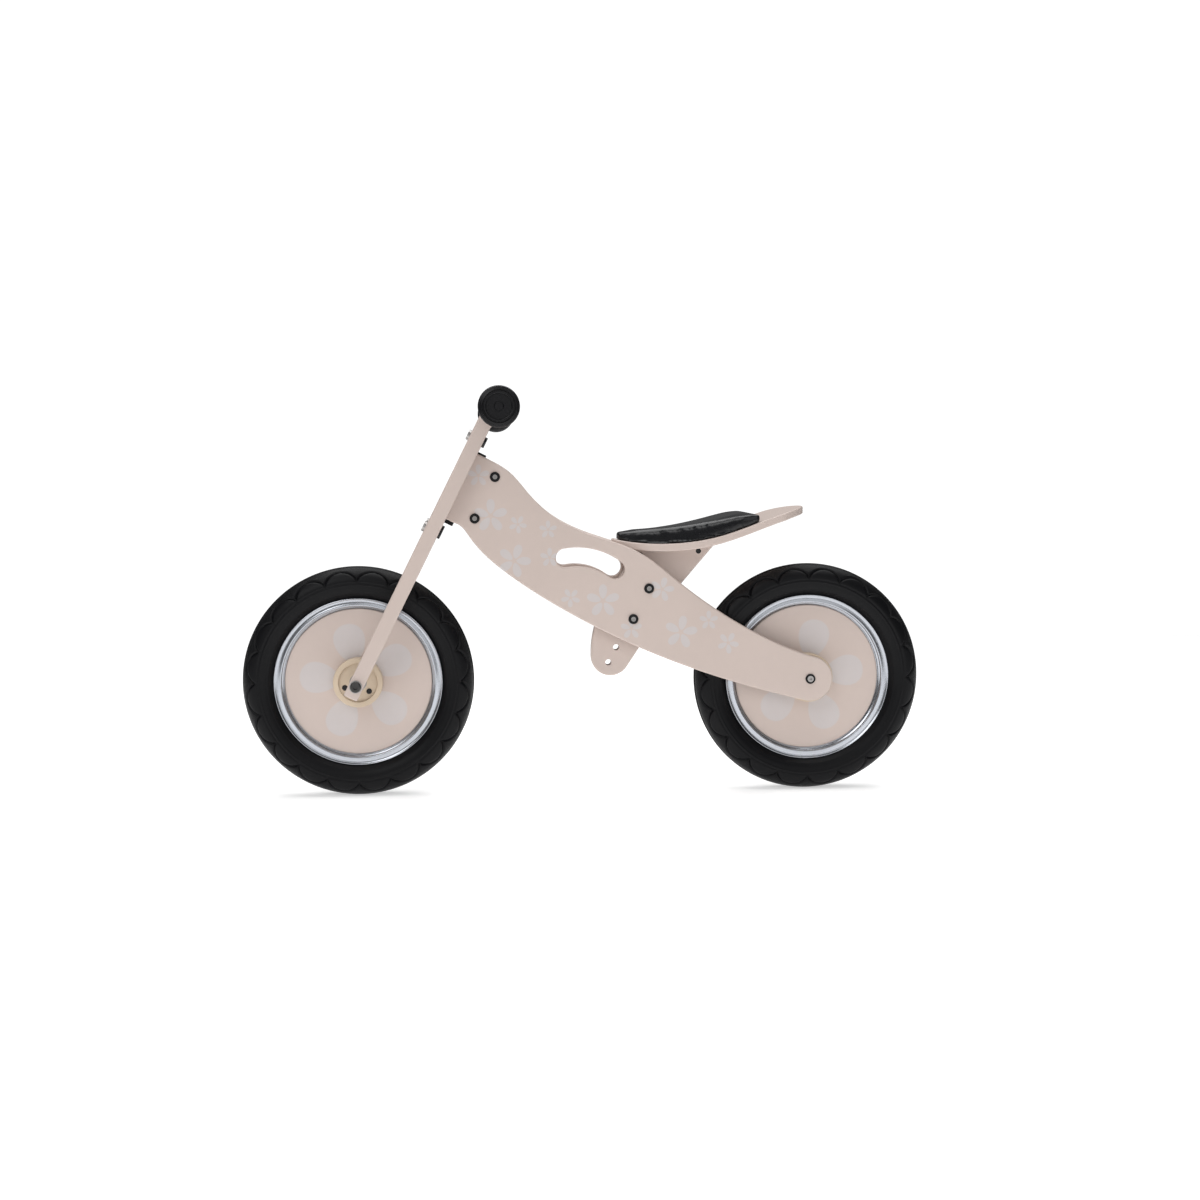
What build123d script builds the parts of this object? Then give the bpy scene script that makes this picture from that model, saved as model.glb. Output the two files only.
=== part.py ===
"""Balance bike for a small child, made as separate sub-parts.

Millimetres. +Z is up, the bike faces -X and its left side is -Y. The origin is on the
ground, midway between the axles. Every piece is modelled in place and written to
parts/NODE.step. Fork pieces are drawn in a steering frame whose origin is the front
axle: its Z runs up the steering axis and its X points back.
"""
import os
from math import cos, radians, sin

from build123d import *

# ---- driving dimensions -------------------------------------------------------------
WHEELBASE = 582.0
TYRE_RADIUS = 148.0
TYRE_WIDTH = 44.0
STEERING_LEAN = 26.4
PANEL_THICKNESS = 9.0
PANEL_GAP = 50.0
LEG_DEPTH = 18.5
LEG_THICKNESS = 15.0
POST_THICKNESS = 16.0
POST_HOLE_PITCH = 22.0
POST_LEAN = 27.3
HANDLEBAR_RADIUS = 11.0
HANDLEBAR_LENGTH = 340.0

# ---- clearances ---------------------------------------------------------------------
BODY_GAP = 0.3
RUNNING_GAP = 0.05
LEG_TO_PANEL = 12.0

# ---- positions that follow from them ------------------------------------------------
FRONT_X = -WHEELBASE / 2
REAR_X = WHEELBASE / 2
PANEL_INNER = PANEL_GAP / 2
PANEL_OUTER = PANEL_INNER + PANEL_THICKNESS
LEG_INNER = PANEL_OUTER + LEG_TO_PANEL
LEG_OUTER = LEG_INNER + LEG_THICKNESS
BOARD_ROUNDING = 2.0

# ---- wheels -------------------------------------------------------------------------
BEAD_RADIUS = TYRE_RADIUS - 48.5
RIM_HALF_WIDTH = 13.6
RIM_WALL = 1.6
RIM_WELL_HALF_WIDTH = 8.8
RIM_WELL_WALL = 1.8
RIM_LIP_RADIUS = 1.1
FLANGE_RADIUS = BEAD_RADIUS + 8.0
TYRE_SECTION_CENTRE = TYRE_RADIUS - TYRE_WIDTH / 2
TYRE_WALL = 3.5
BEAD_THICKNESS = 3.0
TUBE_GAP = 0.2
TUBE_WALL = 1.8
DISC_RADIUS = BEAD_RADIUS - 5.5
DISC_HALF_THICKNESS = 7.5
DISC_CHAMFER = 1.0
VALVE_RADIUS = 3.5
VALVE_TIP = DISC_RADIUS - 9.5
VALVE_NOTCH_RADIUS = 7.0
VALVE_NOTCH_INSET = 3.5
FRONT_VALVE_ANGLE = 90.0 - STEERING_LEAN
REAR_VALVE_ANGLE = 150.0
HUB_RADIUS = 31.5
HUB_LIP_INNER_RADIUS = 24.5
HUB_LIP_ROUNDING = 1.2
HUB_LIP_FACE = PANEL_INNER - 1.0
HUB_FACE = HUB_LIP_FACE - 4.0
HUB_SPIGOT_RADIUS = 15.0
HUB_BORE_RADIUS = 6.0
HUB_SCREW_CIRCLE = 18.0
HUB_SCREW_COUNT = 3
HUB_SCREW_PHASE = 81.0
SCREW_SHANK_RADIUS = 1.75
SCREW_HEAD_RADIUS = 3.6
SCREW_HEAD_HEIGHT = 1.6
SCREW_SOCKET_FLOOR = 0.4
SCREW_TIP = 2.0
BEARING_RADIUS = 11.0
BEARING_WIDTH = 7.0

# ---- axles and bolts ----------------------------------------------------------------
AXLE_RADIUS = 4.0
AXLE_SOCKET_RADIUS = 3.0
SPACER_RADIUS = 6.5
SPACER_START = HUB_FACE + BODY_GAP
AXLE_HEAD_RADIUS = 6.8
AXLE_HEAD_HEIGHT = 4.5
WASHER_RADIUS = 8.0
WASHER_THICKNESS = 1.6
BOLT_RADIUS = 3.0
SLEEVE_RADIUS = 4.0
AXLE_SLEEVE_RADIUS = 5.0
CAP_RADIUS = 6.4
CAP_HEIGHT = 2.2
SOCKET_ACROSS_CORNERS_RADIUS = 1.9
SOCKET_DEPTH = 2.5

# ---- steering head, heights along the steering axis from the front axle -------------
LOWER_CROWN_BOTTOM = 205.0
LOWER_CROWN_TOP = 232.0
LOWER_PLATE_THICKNESS = 5.5
UPPER_PLATE_THICKNESS = 2.7
HEAD_BOTTOM = LOWER_CROWN_TOP + BODY_GAP + LOWER_PLATE_THICKNESS
HEAD_HEIGHT = 91.5
HEAD_TOP = HEAD_BOTTOM + HEAD_HEIGHT
UPPER_CROWN_BOTTOM = HEAD_TOP + UPPER_PLATE_THICKNESS + BODY_GAP
CROWN_HEIGHT = LOWER_CROWN_TOP - LOWER_CROWN_BOTTOM
UPPER_CROWN_TOP = UPPER_CROWN_BOTTOM + CROWN_HEIGHT
HANDLEBAR_HEIGHT = 390.0
HANDLEBAR_SETBACK = 7.5
LEG_END = -16.5
EYE_RADIUS = HANDLEBAR_SETBACK + LEG_DEPTH / 2
EYE_NECK_RADIUS = 10.0
HEAD_FRONT = -LEG_DEPTH / 2
HEAD_BACK = 62.0
PLATE_BACK = 20.5
PLATE_HALF_WIDTH = 19.0
HEAD_BOLT_SETBACK = 41.5
HEAD_BOLT_INSET = 16.5
TENON_HALF_DEPTH = 5.0
TENON_LENGTH = 11.0
TENON_SHOULDER = 4.0
CROWN_BOLT_RADIUS = 2.5
CROWN_HEAD_RADIUS = 6.5
CROWN_HEAD_HEIGHT = 3.4
PIN_RADIUS = 4.0
PIN_HEAD_RADIUS = 7.5
PIN_HEAD_HEIGHT = 4.0
PIN_NUT_RADIUS = 7.5
PIN_NUT_HEIGHT = 7.0
BUSH_RADIUS = 6.0
BUSH_LENGTH = 24.0

# ---- frame panels, points as (x, z) -------------------------------------------------
HEAD_EDGE_LENGTH = 30.0
NOSE_ROUNDING = 3.0
TAIL_RADIUS = 29.0
TAIL_TOP_SLOPE = 20.0
TAIL_BOTTOM_SLOPE = 13.0
PANEL_TOP_CURVE = [
    (-96.5, 416.2),
    (-73.1, 389.8),
    (-39.9, 359.4),
    (11.3, 334.7),
    (62.6, 316.2),
    (122.4, 273.0),
    (214.6, 211.3),
]
PANEL_BOTTOM_CURVE = [
    (-147.7, 334.2),
    (-97.1, 284.9),
    (-24.4, 238.1),
    (66.7, 191.7),
    (196.3, 143.5),
]
HANDLE_HOLE_HEIGHT = 24.0
HANDLE_HOLE_ARC = [(-26.0, 306.5), (8.0, 305.5), (38.0, 291.5)]

# ---- seat ---------------------------------------------------------------------------
LOWEST_POST_HOLE = (30.7, 169.1)
POST_HOLE_COUNT = 6
POST_HOLE_RADIUS = 4.0
POST_BOLT_HOLES = (5, 3)
POST_END_CENTRE = (33.5, 177.0)
POST_END_RADIUS = 25.3
POST_BACK_LEAN = 33.5
POST_TOP_FRONT = (66.9, 314.3)
POST_TOP_BACK = (167.0, 319.0)
POST_BACK_BEND = (126.2, 271.3)
POST_TOP_MARGIN = 30.0
POST_SPACER_WIDTH = 34.0
POST_SPACER_OVERHANG = 15.0
SEAT_THICKNESS = 9.5
SEAT_UNDERSIDE = [(36.0, 320.5), (104.0, 314.4), (165.2, 323.7), (237.4, 349.8), (284.0, 361.8)]
SEAT_HALF_PLAN = [
    (36.0, PANEL_INNER - 6.0),
    (66.0, PANEL_INNER - 1.5),
    (130.0, 48.0),
    (195.0, 69.0),
    (250.0, 70.0),
]
SEAT_BLANK_HALF_WIDTH = 75.0
SEAT_NOSE_RADIUS = 12.0
SEAT_ROUNDING = 1.5
CURVE_TOLERANCE = 1e-6
CUSHION_FRONT = 40.5
CUSHION_BACK = 221.0
CUSHION_TOP = [(0.0, 11.5), (58.0, 18.5), (125.0, 21.0), (160.0, 17.0)]
CUSHION_END_HEIGHT = 11.0
CUSHION_INSET = 3.0
CUSHION_ROUNDING = 5.0
SEAT_SCREW_X = (72.0, 148.0)
SEAT_SCREW_RADIUS = 2.0
SEAT_SCREW_HEAD_RADIUS = 5.0
SEAT_SCREW_HEAD_HEIGHT = 2.5
BARREL_RADIUS = 3.5
BARREL_DEPTH = 6.5

# ---- handlebar and grips ------------------------------------------------------------
HANDLEBAR_WALL = 2.0
BAR_SCREW_RADIUS = 2.0
BAR_SCREW_HEAD_RADIUS = 4.0
BAR_SCREW_HEAD_HEIGHT = 1.8
GRIP_START = 70.0
GRIP_END = HANDLEBAR_LENGTH / 2 + 5.0
GRIP_COLLAR_RADIUS = 17.6
GRIP_COLLAR_LENGTH = 5.0
GRIP_BODY_RADIUS = 14.5
GRIP_END_RADIUS = 25.0
GRIP_END_LENGTH = 15.0
GRIP_STEP = 3.5


def steer_point(back, up):
    """World (x, z) of a point given in the steering frame."""
    lean = radians(STEERING_LEAN)
    return (
        FRONT_X + back * cos(lean) + up * sin(lean),
        TYRE_RADIUS - back * sin(lean) + up * cos(lean),
    )


def in_steering_frame(piece):
    """Move a piece drawn about the steering axis to its place on the bike."""
    return Pos(FRONT_X, 0, TYRE_RADIUS) * Rot(0, STEERING_LEAN, 0) * piece


def plate(outline, y_low, y_high):
    """Board between two planes across the bike; the outline is drawn as (x, z)."""
    start = Plane.XZ.offset(-y_high) * outline
    return extrude(start, amount=y_high - y_low)


def rod(radius, x, z, y_low, y_high):
    """Round bar across the bike."""
    return plate(Pos(x, z) * Circle(radius), y_low, y_high)


def turned(points):
    """Solid of revolution about the Y axis from (radius, y) corners."""
    profile = make_face(Polyline(*points, close=True))
    return revolve(profile, Axis.Y)


def left_and_right(piece):
    """The piece and its mirror image in the bike's middle plane."""
    return [piece, mirror(piece, Plane.XZ)]


def round_faces(board, radius):
    """Round the outline edges of a board's two flat faces."""
    faces = board.faces().sort_by(Axis.Y)
    return fillet(faces[0].edges() + faces[-1].edges(), radius)


def hex_socket(x, z, y_face, y_inside):
    """Hexagonal recess of a socket screw, between its face and its bottom."""
    outline = Pos(x, z) * RegularPolygon(SOCKET_ACROSS_CORNERS_RADIUS, 6)
    return plate(outline, min(y_face, y_inside), max(y_face, y_inside))


def polar(radius, angle):
    """Point (x, z) at an angle in degrees from +X towards +Z."""
    return radius * cos(radians(angle)), radius * sin(radians(angle))


def save(name, *solids):
    """Write one node: a single solid, or several alike."""
    bodies = [body for piece in solids for body in piece.solids()]
    shape = bodies[0] if len(bodies) == 1 else Compound(bodies)
    export_step(shape, f"parts/{name}.step")
    print(f"{name}: {len(bodies)} solid(s)")


# ---- wheels -------------------------------------------------------------------------
def tyre():
    """Tyre carcass, hollow for the inner tube and open between its beads."""
    outer = Pos(TYRE_SECTION_CENTRE, 0) * Circle(TYRE_WIDTH / 2)
    inner = Pos(TYRE_SECTION_CENTRE, 0) * Circle(TYRE_WIDTH / 2 - TYRE_WALL)
    shell_bottom = FLANGE_RADIUS + BODY_GAP
    above_flange = Pos(shell_bottom + TYRE_WIDTH / 2, 0) * Rectangle(TYRE_WIDTH, TYRE_WIDTH)
    bead_outer = RIM_HALF_WIDTH - RIM_WALL
    bead_height = shell_bottom + BEAD_THICKNESS - BEAD_RADIUS
    bead = Rectangle(bead_height, BEAD_THICKNESS)
    bead_radius = BEAD_RADIUS + bead_height / 2
    bead_y = bead_outer - BEAD_THICKNESS / 2
    beads = [Pos(bead_radius, side * bead_y) * bead for side in (-1, 1)]
    shoulder_width = 2 * (bead_outer + BEAD_THICKNESS)
    shoulders = Pos(shell_bottom + BEAD_THICKNESS / 2, 0) * Rectangle(BEAD_THICKNESS, shoulder_width)
    shell = outer & above_flange
    return revolve(shell + (shoulders & outer) + beads - inner, Axis.Y)


def valve_hole(angle, radius, start, end):
    """Radial bar along the valve, used both as the stem and to cut its holes."""
    stem = Pos(0, 0, start) * Cylinder(radius, end - start, align=(Align.CENTER, Align.CENTER, Align.MIN))
    return Rot(0, 90 - angle, 0) * stem


def inner_tube(valve_angle):
    """Hollow rubber tube with its valve stem pointing at the hub."""
    radius = TYRE_WIDTH / 2 - TYRE_WALL - TUBE_GAP
    outer = revolve(Pos(TYRE_SECTION_CENTRE, 0) * Circle(radius), Axis.Y)
    hollow = revolve(Pos(TYRE_SECTION_CENTRE, 0) * Circle(radius - TUBE_WALL), Axis.Y)
    stem_end = TYRE_SECTION_CENTRE - radius + TUBE_WALL
    return outer + valve_hole(valve_angle, VALVE_RADIUS, VALVE_TIP, stem_end) - hollow


def rim(valve_angle):
    """Rim with a well in the middle, two bead seats and rolled flanges."""
    well_bottom = DISC_RADIUS
    seat_bottom = BEAD_RADIUS - RIM_WELL_WALL
    well = Pos(well_bottom + RIM_WELL_WALL / 2, 0) * Rectangle(RIM_WELL_WALL, 2 * RIM_WELL_HALF_WIDTH)
    section = well
    for side in (-1, 1):
        web_y = side * (RIM_WELL_HALF_WIDTH - RIM_WELL_WALL / 2)
        web = Pos((well_bottom + BEAD_RADIUS) / 2, web_y)
        section += web * Rectangle(BEAD_RADIUS - well_bottom, RIM_WELL_WALL)
        seat_width = RIM_HALF_WIDTH - RIM_WELL_HALF_WIDTH + RIM_WELL_WALL
        seat_y = side * (RIM_HALF_WIDTH - seat_width / 2)
        section += Pos((seat_bottom + BEAD_RADIUS) / 2, seat_y) * Rectangle(RIM_WELL_WALL, seat_width)
        wall_top = FLANGE_RADIUS - RIM_LIP_RADIUS
        wall_y = side * (RIM_HALF_WIDTH - RIM_WALL / 2)
        section += Pos((seat_bottom + wall_top) / 2, wall_y) * Rectangle(wall_top - seat_bottom, RIM_WALL)
        lip_y = side * (RIM_HALF_WIDTH - RIM_WALL + RIM_LIP_RADIUS)
        section += Pos(wall_top, lip_y) * Circle(RIM_LIP_RADIUS)
    hole = valve_hole(valve_angle, VALVE_RADIUS, VALVE_TIP, FLANGE_RADIUS)
    return revolve(section, Axis.Y) - hole


def hub_screw_points():
    """Places of the screws round a hub, as (x, z)."""
    step = 360 / HUB_SCREW_COUNT
    return [polar(HUB_SCREW_CIRCLE, HUB_SCREW_PHASE + k * step) for k in range(HUB_SCREW_COUNT)]


def screw_holes(y_low, y_high):
    """Shank holes for all the hub's screws."""
    return [rod(SCREW_SHANK_RADIUS, x, z, y_low, y_high) for x, z in hub_screw_points()]


def wheel_disc(valve_angle):
    """Plywood disc with the hub's bore, its screw holes and a hole for the valve."""
    half = DISC_HALF_THICKNESS
    body = rod(DISC_RADIUS, 0, 0, -half, half)
    faces = body.faces().sort_by(Axis.Y)
    body = chamfer(faces[0].edges() + faces[-1].edges(), DISC_CHAMFER)
    notch_x, notch_z = polar(DISC_RADIUS - VALVE_NOTCH_INSET, valve_angle)
    body -= rod(HUB_SPIGOT_RADIUS, 0, 0, -half, half)
    body -= rod(VALVE_NOTCH_RADIUS, notch_x, notch_z, -half, half)
    return body - screw_holes(-half, -SCREW_TIP) - screw_holes(SCREW_TIP, half)


def hub_half():
    """Right half of the hub: spigot in the disc, flange, lip and bearing pocket."""
    pocket = HUB_FACE - BEARING_WIDTH
    half = turned([
        (HUB_BORE_RADIUS, 0),
        (HUB_SPIGOT_RADIUS, 0),
        (HUB_SPIGOT_RADIUS, DISC_HALF_THICKNESS),
        (HUB_RADIUS, DISC_HALF_THICKNESS),
        (HUB_RADIUS, HUB_LIP_FACE),
        (HUB_LIP_INNER_RADIUS, HUB_LIP_FACE),
        (HUB_LIP_INNER_RADIUS, HUB_FACE),
        (BEARING_RADIUS, HUB_FACE),
        (BEARING_RADIUS, pocket),
        (HUB_BORE_RADIUS, pocket),
    ])
    half -= screw_holes(DISC_HALF_THICKNESS, HUB_FACE)
    lip_edges = half.edges().filter_by(GeomType.CIRCLE).group_by(Axis.Y)[-1]
    return fillet(lip_edges, HUB_LIP_ROUNDING)


def hub_screws():
    """Screws on the right side that hold the hub half to the disc."""
    screws = []
    for x, z in hub_screw_points():
        shank = rod(SCREW_SHANK_RADIUS, x, z, SCREW_TIP, HUB_FACE)
        head = rod(SCREW_HEAD_RADIUS, x, z, HUB_FACE, HUB_FACE + SCREW_HEAD_HEIGHT)
        recess = hex_socket(x, z, HUB_FACE + SCREW_HEAD_HEIGHT, HUB_FACE + SCREW_SOCKET_FLOOR)
        screws.append(shank + head - recess)
    return screws


def bearing():
    """Right ball bearing, a closed ring that turns on the axle."""
    bore = AXLE_RADIUS + RUNNING_GAP
    return turned([
        (bore, HUB_FACE - BEARING_WIDTH),
        (BEARING_RADIUS, HUB_FACE - BEARING_WIDTH),
        (BEARING_RADIUS, HUB_FACE),
        (bore, HUB_FACE),
    ])


def save_wheel(name, x, valve_angle):
    """Write every piece of one wheel with its axle at the given x."""
    place = Pos(x, 0, TYRE_RADIUS)
    save(f"{name}_tyre", place * tyre())
    save(f"{name}_inner_tube", place * inner_tube(valve_angle))
    save(f"{name}_rim", place * rim(valve_angle))
    save(f"{name}_wheel_disc", place * wheel_disc(valve_angle))
    right, left = left_and_right(hub_half())
    save(f"{name}_hub_right", place * right)
    save(f"{name}_hub_left", place * left)
    both_sides = [screw for right_screw in hub_screws() for screw in left_and_right(right_screw)]
    save(f"{name}_hub_screws", *[place * screw for screw in both_sides])
    save(f"{name}_bearings", *[place * ring for ring in left_and_right(bearing())])


# ---- bolts through the frame --------------------------------------------------------
def through_bolt(radius, x, z):
    """Steel rod across the frame with a hexagonal socket in each end."""
    end = PANEL_OUTER + CAP_HEIGHT
    bolt = rod(radius, x, z, -end, end)
    return bolt - hex_socket(x, z, end - SOCKET_DEPTH, end) - hex_socket(x, z, -end, SOCKET_DEPTH - end)


def bolt_caps(bolt_radius, sleeve_radius, x, z):
    """Flanged sleeves that seat the bolt in the two side panels."""
    sleeve = rod(sleeve_radius, x, z, PANEL_INNER, PANEL_OUTER)
    flange = rod(CAP_RADIUS, x, z, PANEL_OUTER, PANEL_OUTER + CAP_HEIGHT)
    outer_edge = flange.edges().filter_by(GeomType.CIRCLE).sort_by(Axis.Y)[-1]
    cap = sleeve + fillet(outer_edge, CAP_HEIGHT / 2)
    return left_and_right(cap - rod(bolt_radius, x, z, PANEL_INNER, PANEL_OUTER + CAP_HEIGHT))


def head_bolt_points():
    """The two bolts of the steering head block, as (x, z)."""
    heights = (HEAD_BOTTOM + HEAD_BOLT_INSET, HEAD_TOP - HEAD_BOLT_INSET)
    return [steer_point(HEAD_BOLT_SETBACK, height) for height in heights]


def post_holes():
    """Holes of the seat post from the lowest up, as (x, z)."""
    x, z = LOWEST_POST_HOLE
    lean = radians(POST_LEAN)
    steps = [k * POST_HOLE_PITCH for k in range(POST_HOLE_COUNT)]
    return [(x + step * sin(lean), z + step * cos(lean)) for step in steps]


def post_bolt_points():
    """Holes of the seat post that its two bolts use."""
    return [post_holes()[k] for k in POST_BOLT_HOLES]


# ---- frame --------------------------------------------------------------------------
def tail_point(slope, side):
    """Point where an edge of the given slope meets the rounded tail."""
    return (
        REAR_X + side * TAIL_RADIUS * sin(radians(slope)),
        TYRE_RADIUS + side * TAIL_RADIUS * cos(radians(slope)),
    )


def panel_outline():
    """Outline of a side panel without its holes."""
    nose_top = steer_point(HEAD_FRONT, HEAD_TOP)
    nose_bottom = steer_point(HEAD_FRONT, HEAD_BOTTOM)
    flat_top = steer_point(PLATE_BACK, HEAD_TOP)
    flat_bottom = steer_point(PLATE_BACK, HEAD_BOTTOM)
    head_top = steer_point(HEAD_EDGE_LENGTH, HEAD_TOP)
    head_bottom = steer_point(HEAD_EDGE_LENGTH, HEAD_BOTTOM)
    tail_top = tail_point(TAIL_TOP_SLOPE, 1)
    tail_bottom = tail_point(TAIL_BOTTOM_SLOPE, -1)
    face = make_face([
        Polyline(flat_bottom, nose_bottom, nose_top, flat_top),
        Spline(flat_top, head_top, *PANEL_TOP_CURVE, tail_top),
        ThreePointArc(tail_top, (REAR_X + TAIL_RADIUS, TYRE_RADIUS), tail_bottom),
        Spline(flat_bottom, head_bottom, *PANEL_BOTTOM_CURVE, tail_bottom),
    ])
    nose = face.vertices().sort_by(Axis.X)[:2]
    return fillet(nose, NOSE_ROUNDING)


def side_panel():
    """Right side panel with its handle hole and bolt holes."""
    hole = SlotArc(ThreePointArc(*HANDLE_HOLE_ARC), HANDLE_HOLE_HEIGHT)
    board = plate(panel_outline() - hole, PANEL_INNER, PANEL_OUTER)
    board = round_faces(board, BOARD_ROUNDING)
    for x, z in head_bolt_points() + post_bolt_points():
        board -= rod(SLEEVE_RADIUS, x, z, PANEL_INNER, PANEL_OUTER)
    return board - rod(AXLE_SLEEVE_RADIUS, REAR_X, TYRE_RADIUS, PANEL_INNER, PANEL_OUTER)


def upright(radius, low, high):
    """Round bar along the steering axis, in the steering frame."""
    return Pos(0, 0, (low + high) / 2) * Cylinder(radius, high - low)


def head_block():
    """Wooden block between the panels that carries the steering bushes."""
    depth = HEAD_BACK - HEAD_FRONT
    middle = (HEAD_FRONT + HEAD_BACK) / 2
    block = Pos(middle, 0, (HEAD_BOTTOM + HEAD_TOP) / 2) * Box(depth, PANEL_GAP, HEAD_HEIGHT)
    block -= upright(PIN_RADIUS + BODY_GAP, HEAD_BOTTOM, HEAD_TOP)
    block -= upright(BUSH_RADIUS, HEAD_BOTTOM, HEAD_BOTTOM + BUSH_LENGTH)
    block -= upright(BUSH_RADIUS, HEAD_TOP - BUSH_LENGTH, HEAD_TOP)
    block = in_steering_frame(block) & plate(panel_outline(), -PANEL_INNER, PANEL_INNER)
    for x, z in head_bolt_points():
        block -= rod(BOLT_RADIUS, x, z, -PANEL_INNER, PANEL_INNER)
    return block


def steering_bush(bottom):
    """Sleeve in the head block that the steering pin turns in."""
    sleeve = upright(BUSH_RADIUS, bottom, bottom + BUSH_LENGTH)
    return in_steering_frame(sleeve - upright(PIN_RADIUS + RUNNING_GAP, bottom, bottom + BUSH_LENGTH))


def bearing_plate(bottom, thickness):
    """Flat plastic plate between the head block and a crown, round at the front."""
    length = PLATE_BACK - HEAD_FRONT
    middle = (PLATE_BACK + HEAD_FRONT) / 2
    blank = Pos(middle, 0, bottom + thickness / 2) * Box(length, 2 * PLATE_HALF_WIDTH, thickness)
    blank = fillet(blank.edges().filter_by(Axis.Z), NOSE_ROUNDING)
    hole = upright(PIN_RADIUS + BODY_GAP, bottom, bottom + thickness)
    return in_steering_frame(blank - hole)


# ---- seat ---------------------------------------------------------------------------
def seat_curve(rise):
    """Underside curve of the seat board, lifted by the given amount."""
    return Spline(*[(x, z + rise) for x, z in SEAT_UNDERSIDE])


def seat_layer(low, high, half_width):
    """Band that follows the seat's curve between two heights above its underside."""
    bottom = seat_curve(low)
    top = seat_curve(high)
    ends = [Line(bottom @ 0, top @ 0), Line(bottom @ 1, top @ 1)]
    return plate(make_face([bottom, top] + ends), -half_width, half_width)


def underside_height(x):
    """Height of the seat board's underside at the given x."""
    curve = seat_curve(0)
    low, high = 0.0, 1.0
    while high - low > CURVE_TOLERANCE:
        middle = (low + high) / 2
        if (curve @ middle).X < x:
            low = middle
        else:
            high = middle
    return (curve @ low).Y


def seat_plan(inset):
    """Seat outline seen from above: a narrow nose between the panels, wide behind."""
    right = [(x, half - inset) for x, half in SEAT_HALF_PLAN]
    left = [(x, -half) for x, half in right]
    tip = (SEAT_UNDERSIDE[-1][0], 0)
    outline = make_face([
        Line(left[0], right[0]),
        Spline(*right),
        ThreePointArc(right[-1], tip, left[-1]),
        Spline(*left),
    ])
    return fillet(outline.vertices(), SEAT_NOSE_RADIUS)


def seat_column(outline):
    """Tall block with the given plan shape."""
    return extrude(Plane.XY * outline, amount=SEAT_UNDERSIDE[-1][1] + POST_TOP_MARGIN)


def upright_bar(radius, x, low, high):
    """Upright bar under the seat at the given x."""
    return Pos(x, 0, (low + high) / 2) * Cylinder(radius, high - low)


def seat_board():
    """Bent plywood seat with countersunk holes for its two screws."""
    board = seat_layer(0, SEAT_THICKNESS, SEAT_BLANK_HALF_WIDTH) & seat_column(seat_plan(0))
    board = fillet(board.edges(), SEAT_ROUNDING)
    for screw in seat_screws():
        board -= screw
    return board


def seat_screws():
    """Screws from the seat board down into the barrel nuts of the post."""
    screws = []
    for x in SEAT_SCREW_X:
        top = underside_height(x) + SEAT_THICKNESS - SEAT_ROUNDING
        shank = upright_bar(SEAT_SCREW_RADIUS, x, underside_height(x) - BARREL_DEPTH, top)
        head = upright_bar(SEAT_SCREW_HEAD_RADIUS, x, top - SEAT_SCREW_HEAD_HEIGHT, top)
        screws.append(shank + head)
    return screws


def barrel_nuts(drilled):
    """Cross dowels in the post, with the screws' holes when drilled is true."""
    half = POST_THICKNESS / 2
    nuts = []
    for x, screw in zip(SEAT_SCREW_X, seat_screws()):
        nut = rod(BARREL_RADIUS, x, underside_height(x) - BARREL_DEPTH, -half, half)
        nuts.append(nut - screw if drilled else nut)
    return nuts


def seat_post():
    """Board that carries the seat, with a row of holes for setting its height."""
    back_lean = radians(POST_BACK_LEAN)
    end_x, end_z = POST_END_CENTRE
    end_front = (end_x - POST_END_RADIUS, end_z)
    end_bottom = (end_x, end_z - POST_END_RADIUS)
    end_back = (end_x + POST_END_RADIUS * cos(back_lean), end_z - POST_END_RADIUS * sin(back_lean))
    post_lean = radians(POST_LEAN)
    above_front = (POST_TOP_FRONT[0], POST_TOP_FRONT[1] + POST_TOP_MARGIN)
    above_back = (POST_TOP_BACK[0], POST_TOP_BACK[1] + POST_TOP_MARGIN)
    outline = make_face([
        Spline(end_front, POST_TOP_FRONT, tangents=((0, 1), (sin(post_lean), cos(post_lean)))),
        Line(POST_TOP_FRONT, above_front),
        Line(above_front, above_back),
        Line(above_back, POST_TOP_BACK),
        Line(POST_TOP_BACK, POST_BACK_BEND),
        Line(POST_BACK_BEND, end_back),
        ThreePointArc(end_back, end_bottom, end_front),
    ])
    half = POST_THICKNESS / 2
    board = round_faces(plate(outline, -half, half), BOARD_ROUNDING)
    board -= seat_layer(0, 2 * POST_TOP_MARGIN, half)
    for k, (x, z) in enumerate(post_holes()):
        radius = BOLT_RADIUS if k in POST_BOLT_HOLES else POST_HOLE_RADIUS
        board -= rod(radius, x, z, -half, half)
    for part in barrel_nuts(False) + seat_screws():
        board -= part
    return board


def post_spacer():
    """Right filler block between the seat post and the side panel."""
    (x_low, z_low), (x_high, z_high) = sorted(post_bolt_points())
    middle = Pos((x_low + x_high) / 2, (z_low + z_high) / 2) * Rot(0, 0, -POST_LEAN)
    bolt_distance = POST_HOLE_PITCH * abs(POST_BOLT_HOLES[0] - POST_BOLT_HOLES[1])
    length = bolt_distance + 2 * POST_SPACER_OVERHANG
    outline = middle * RectangleRounded(POST_SPACER_WIDTH, length, NOSE_ROUNDING)
    block = plate(outline, POST_THICKNESS / 2, PANEL_INNER)
    for x, z in post_bolt_points():
        block -= rod(BOLT_RADIUS, x, z, POST_THICKNESS / 2, PANEL_INNER)
    return block


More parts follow.
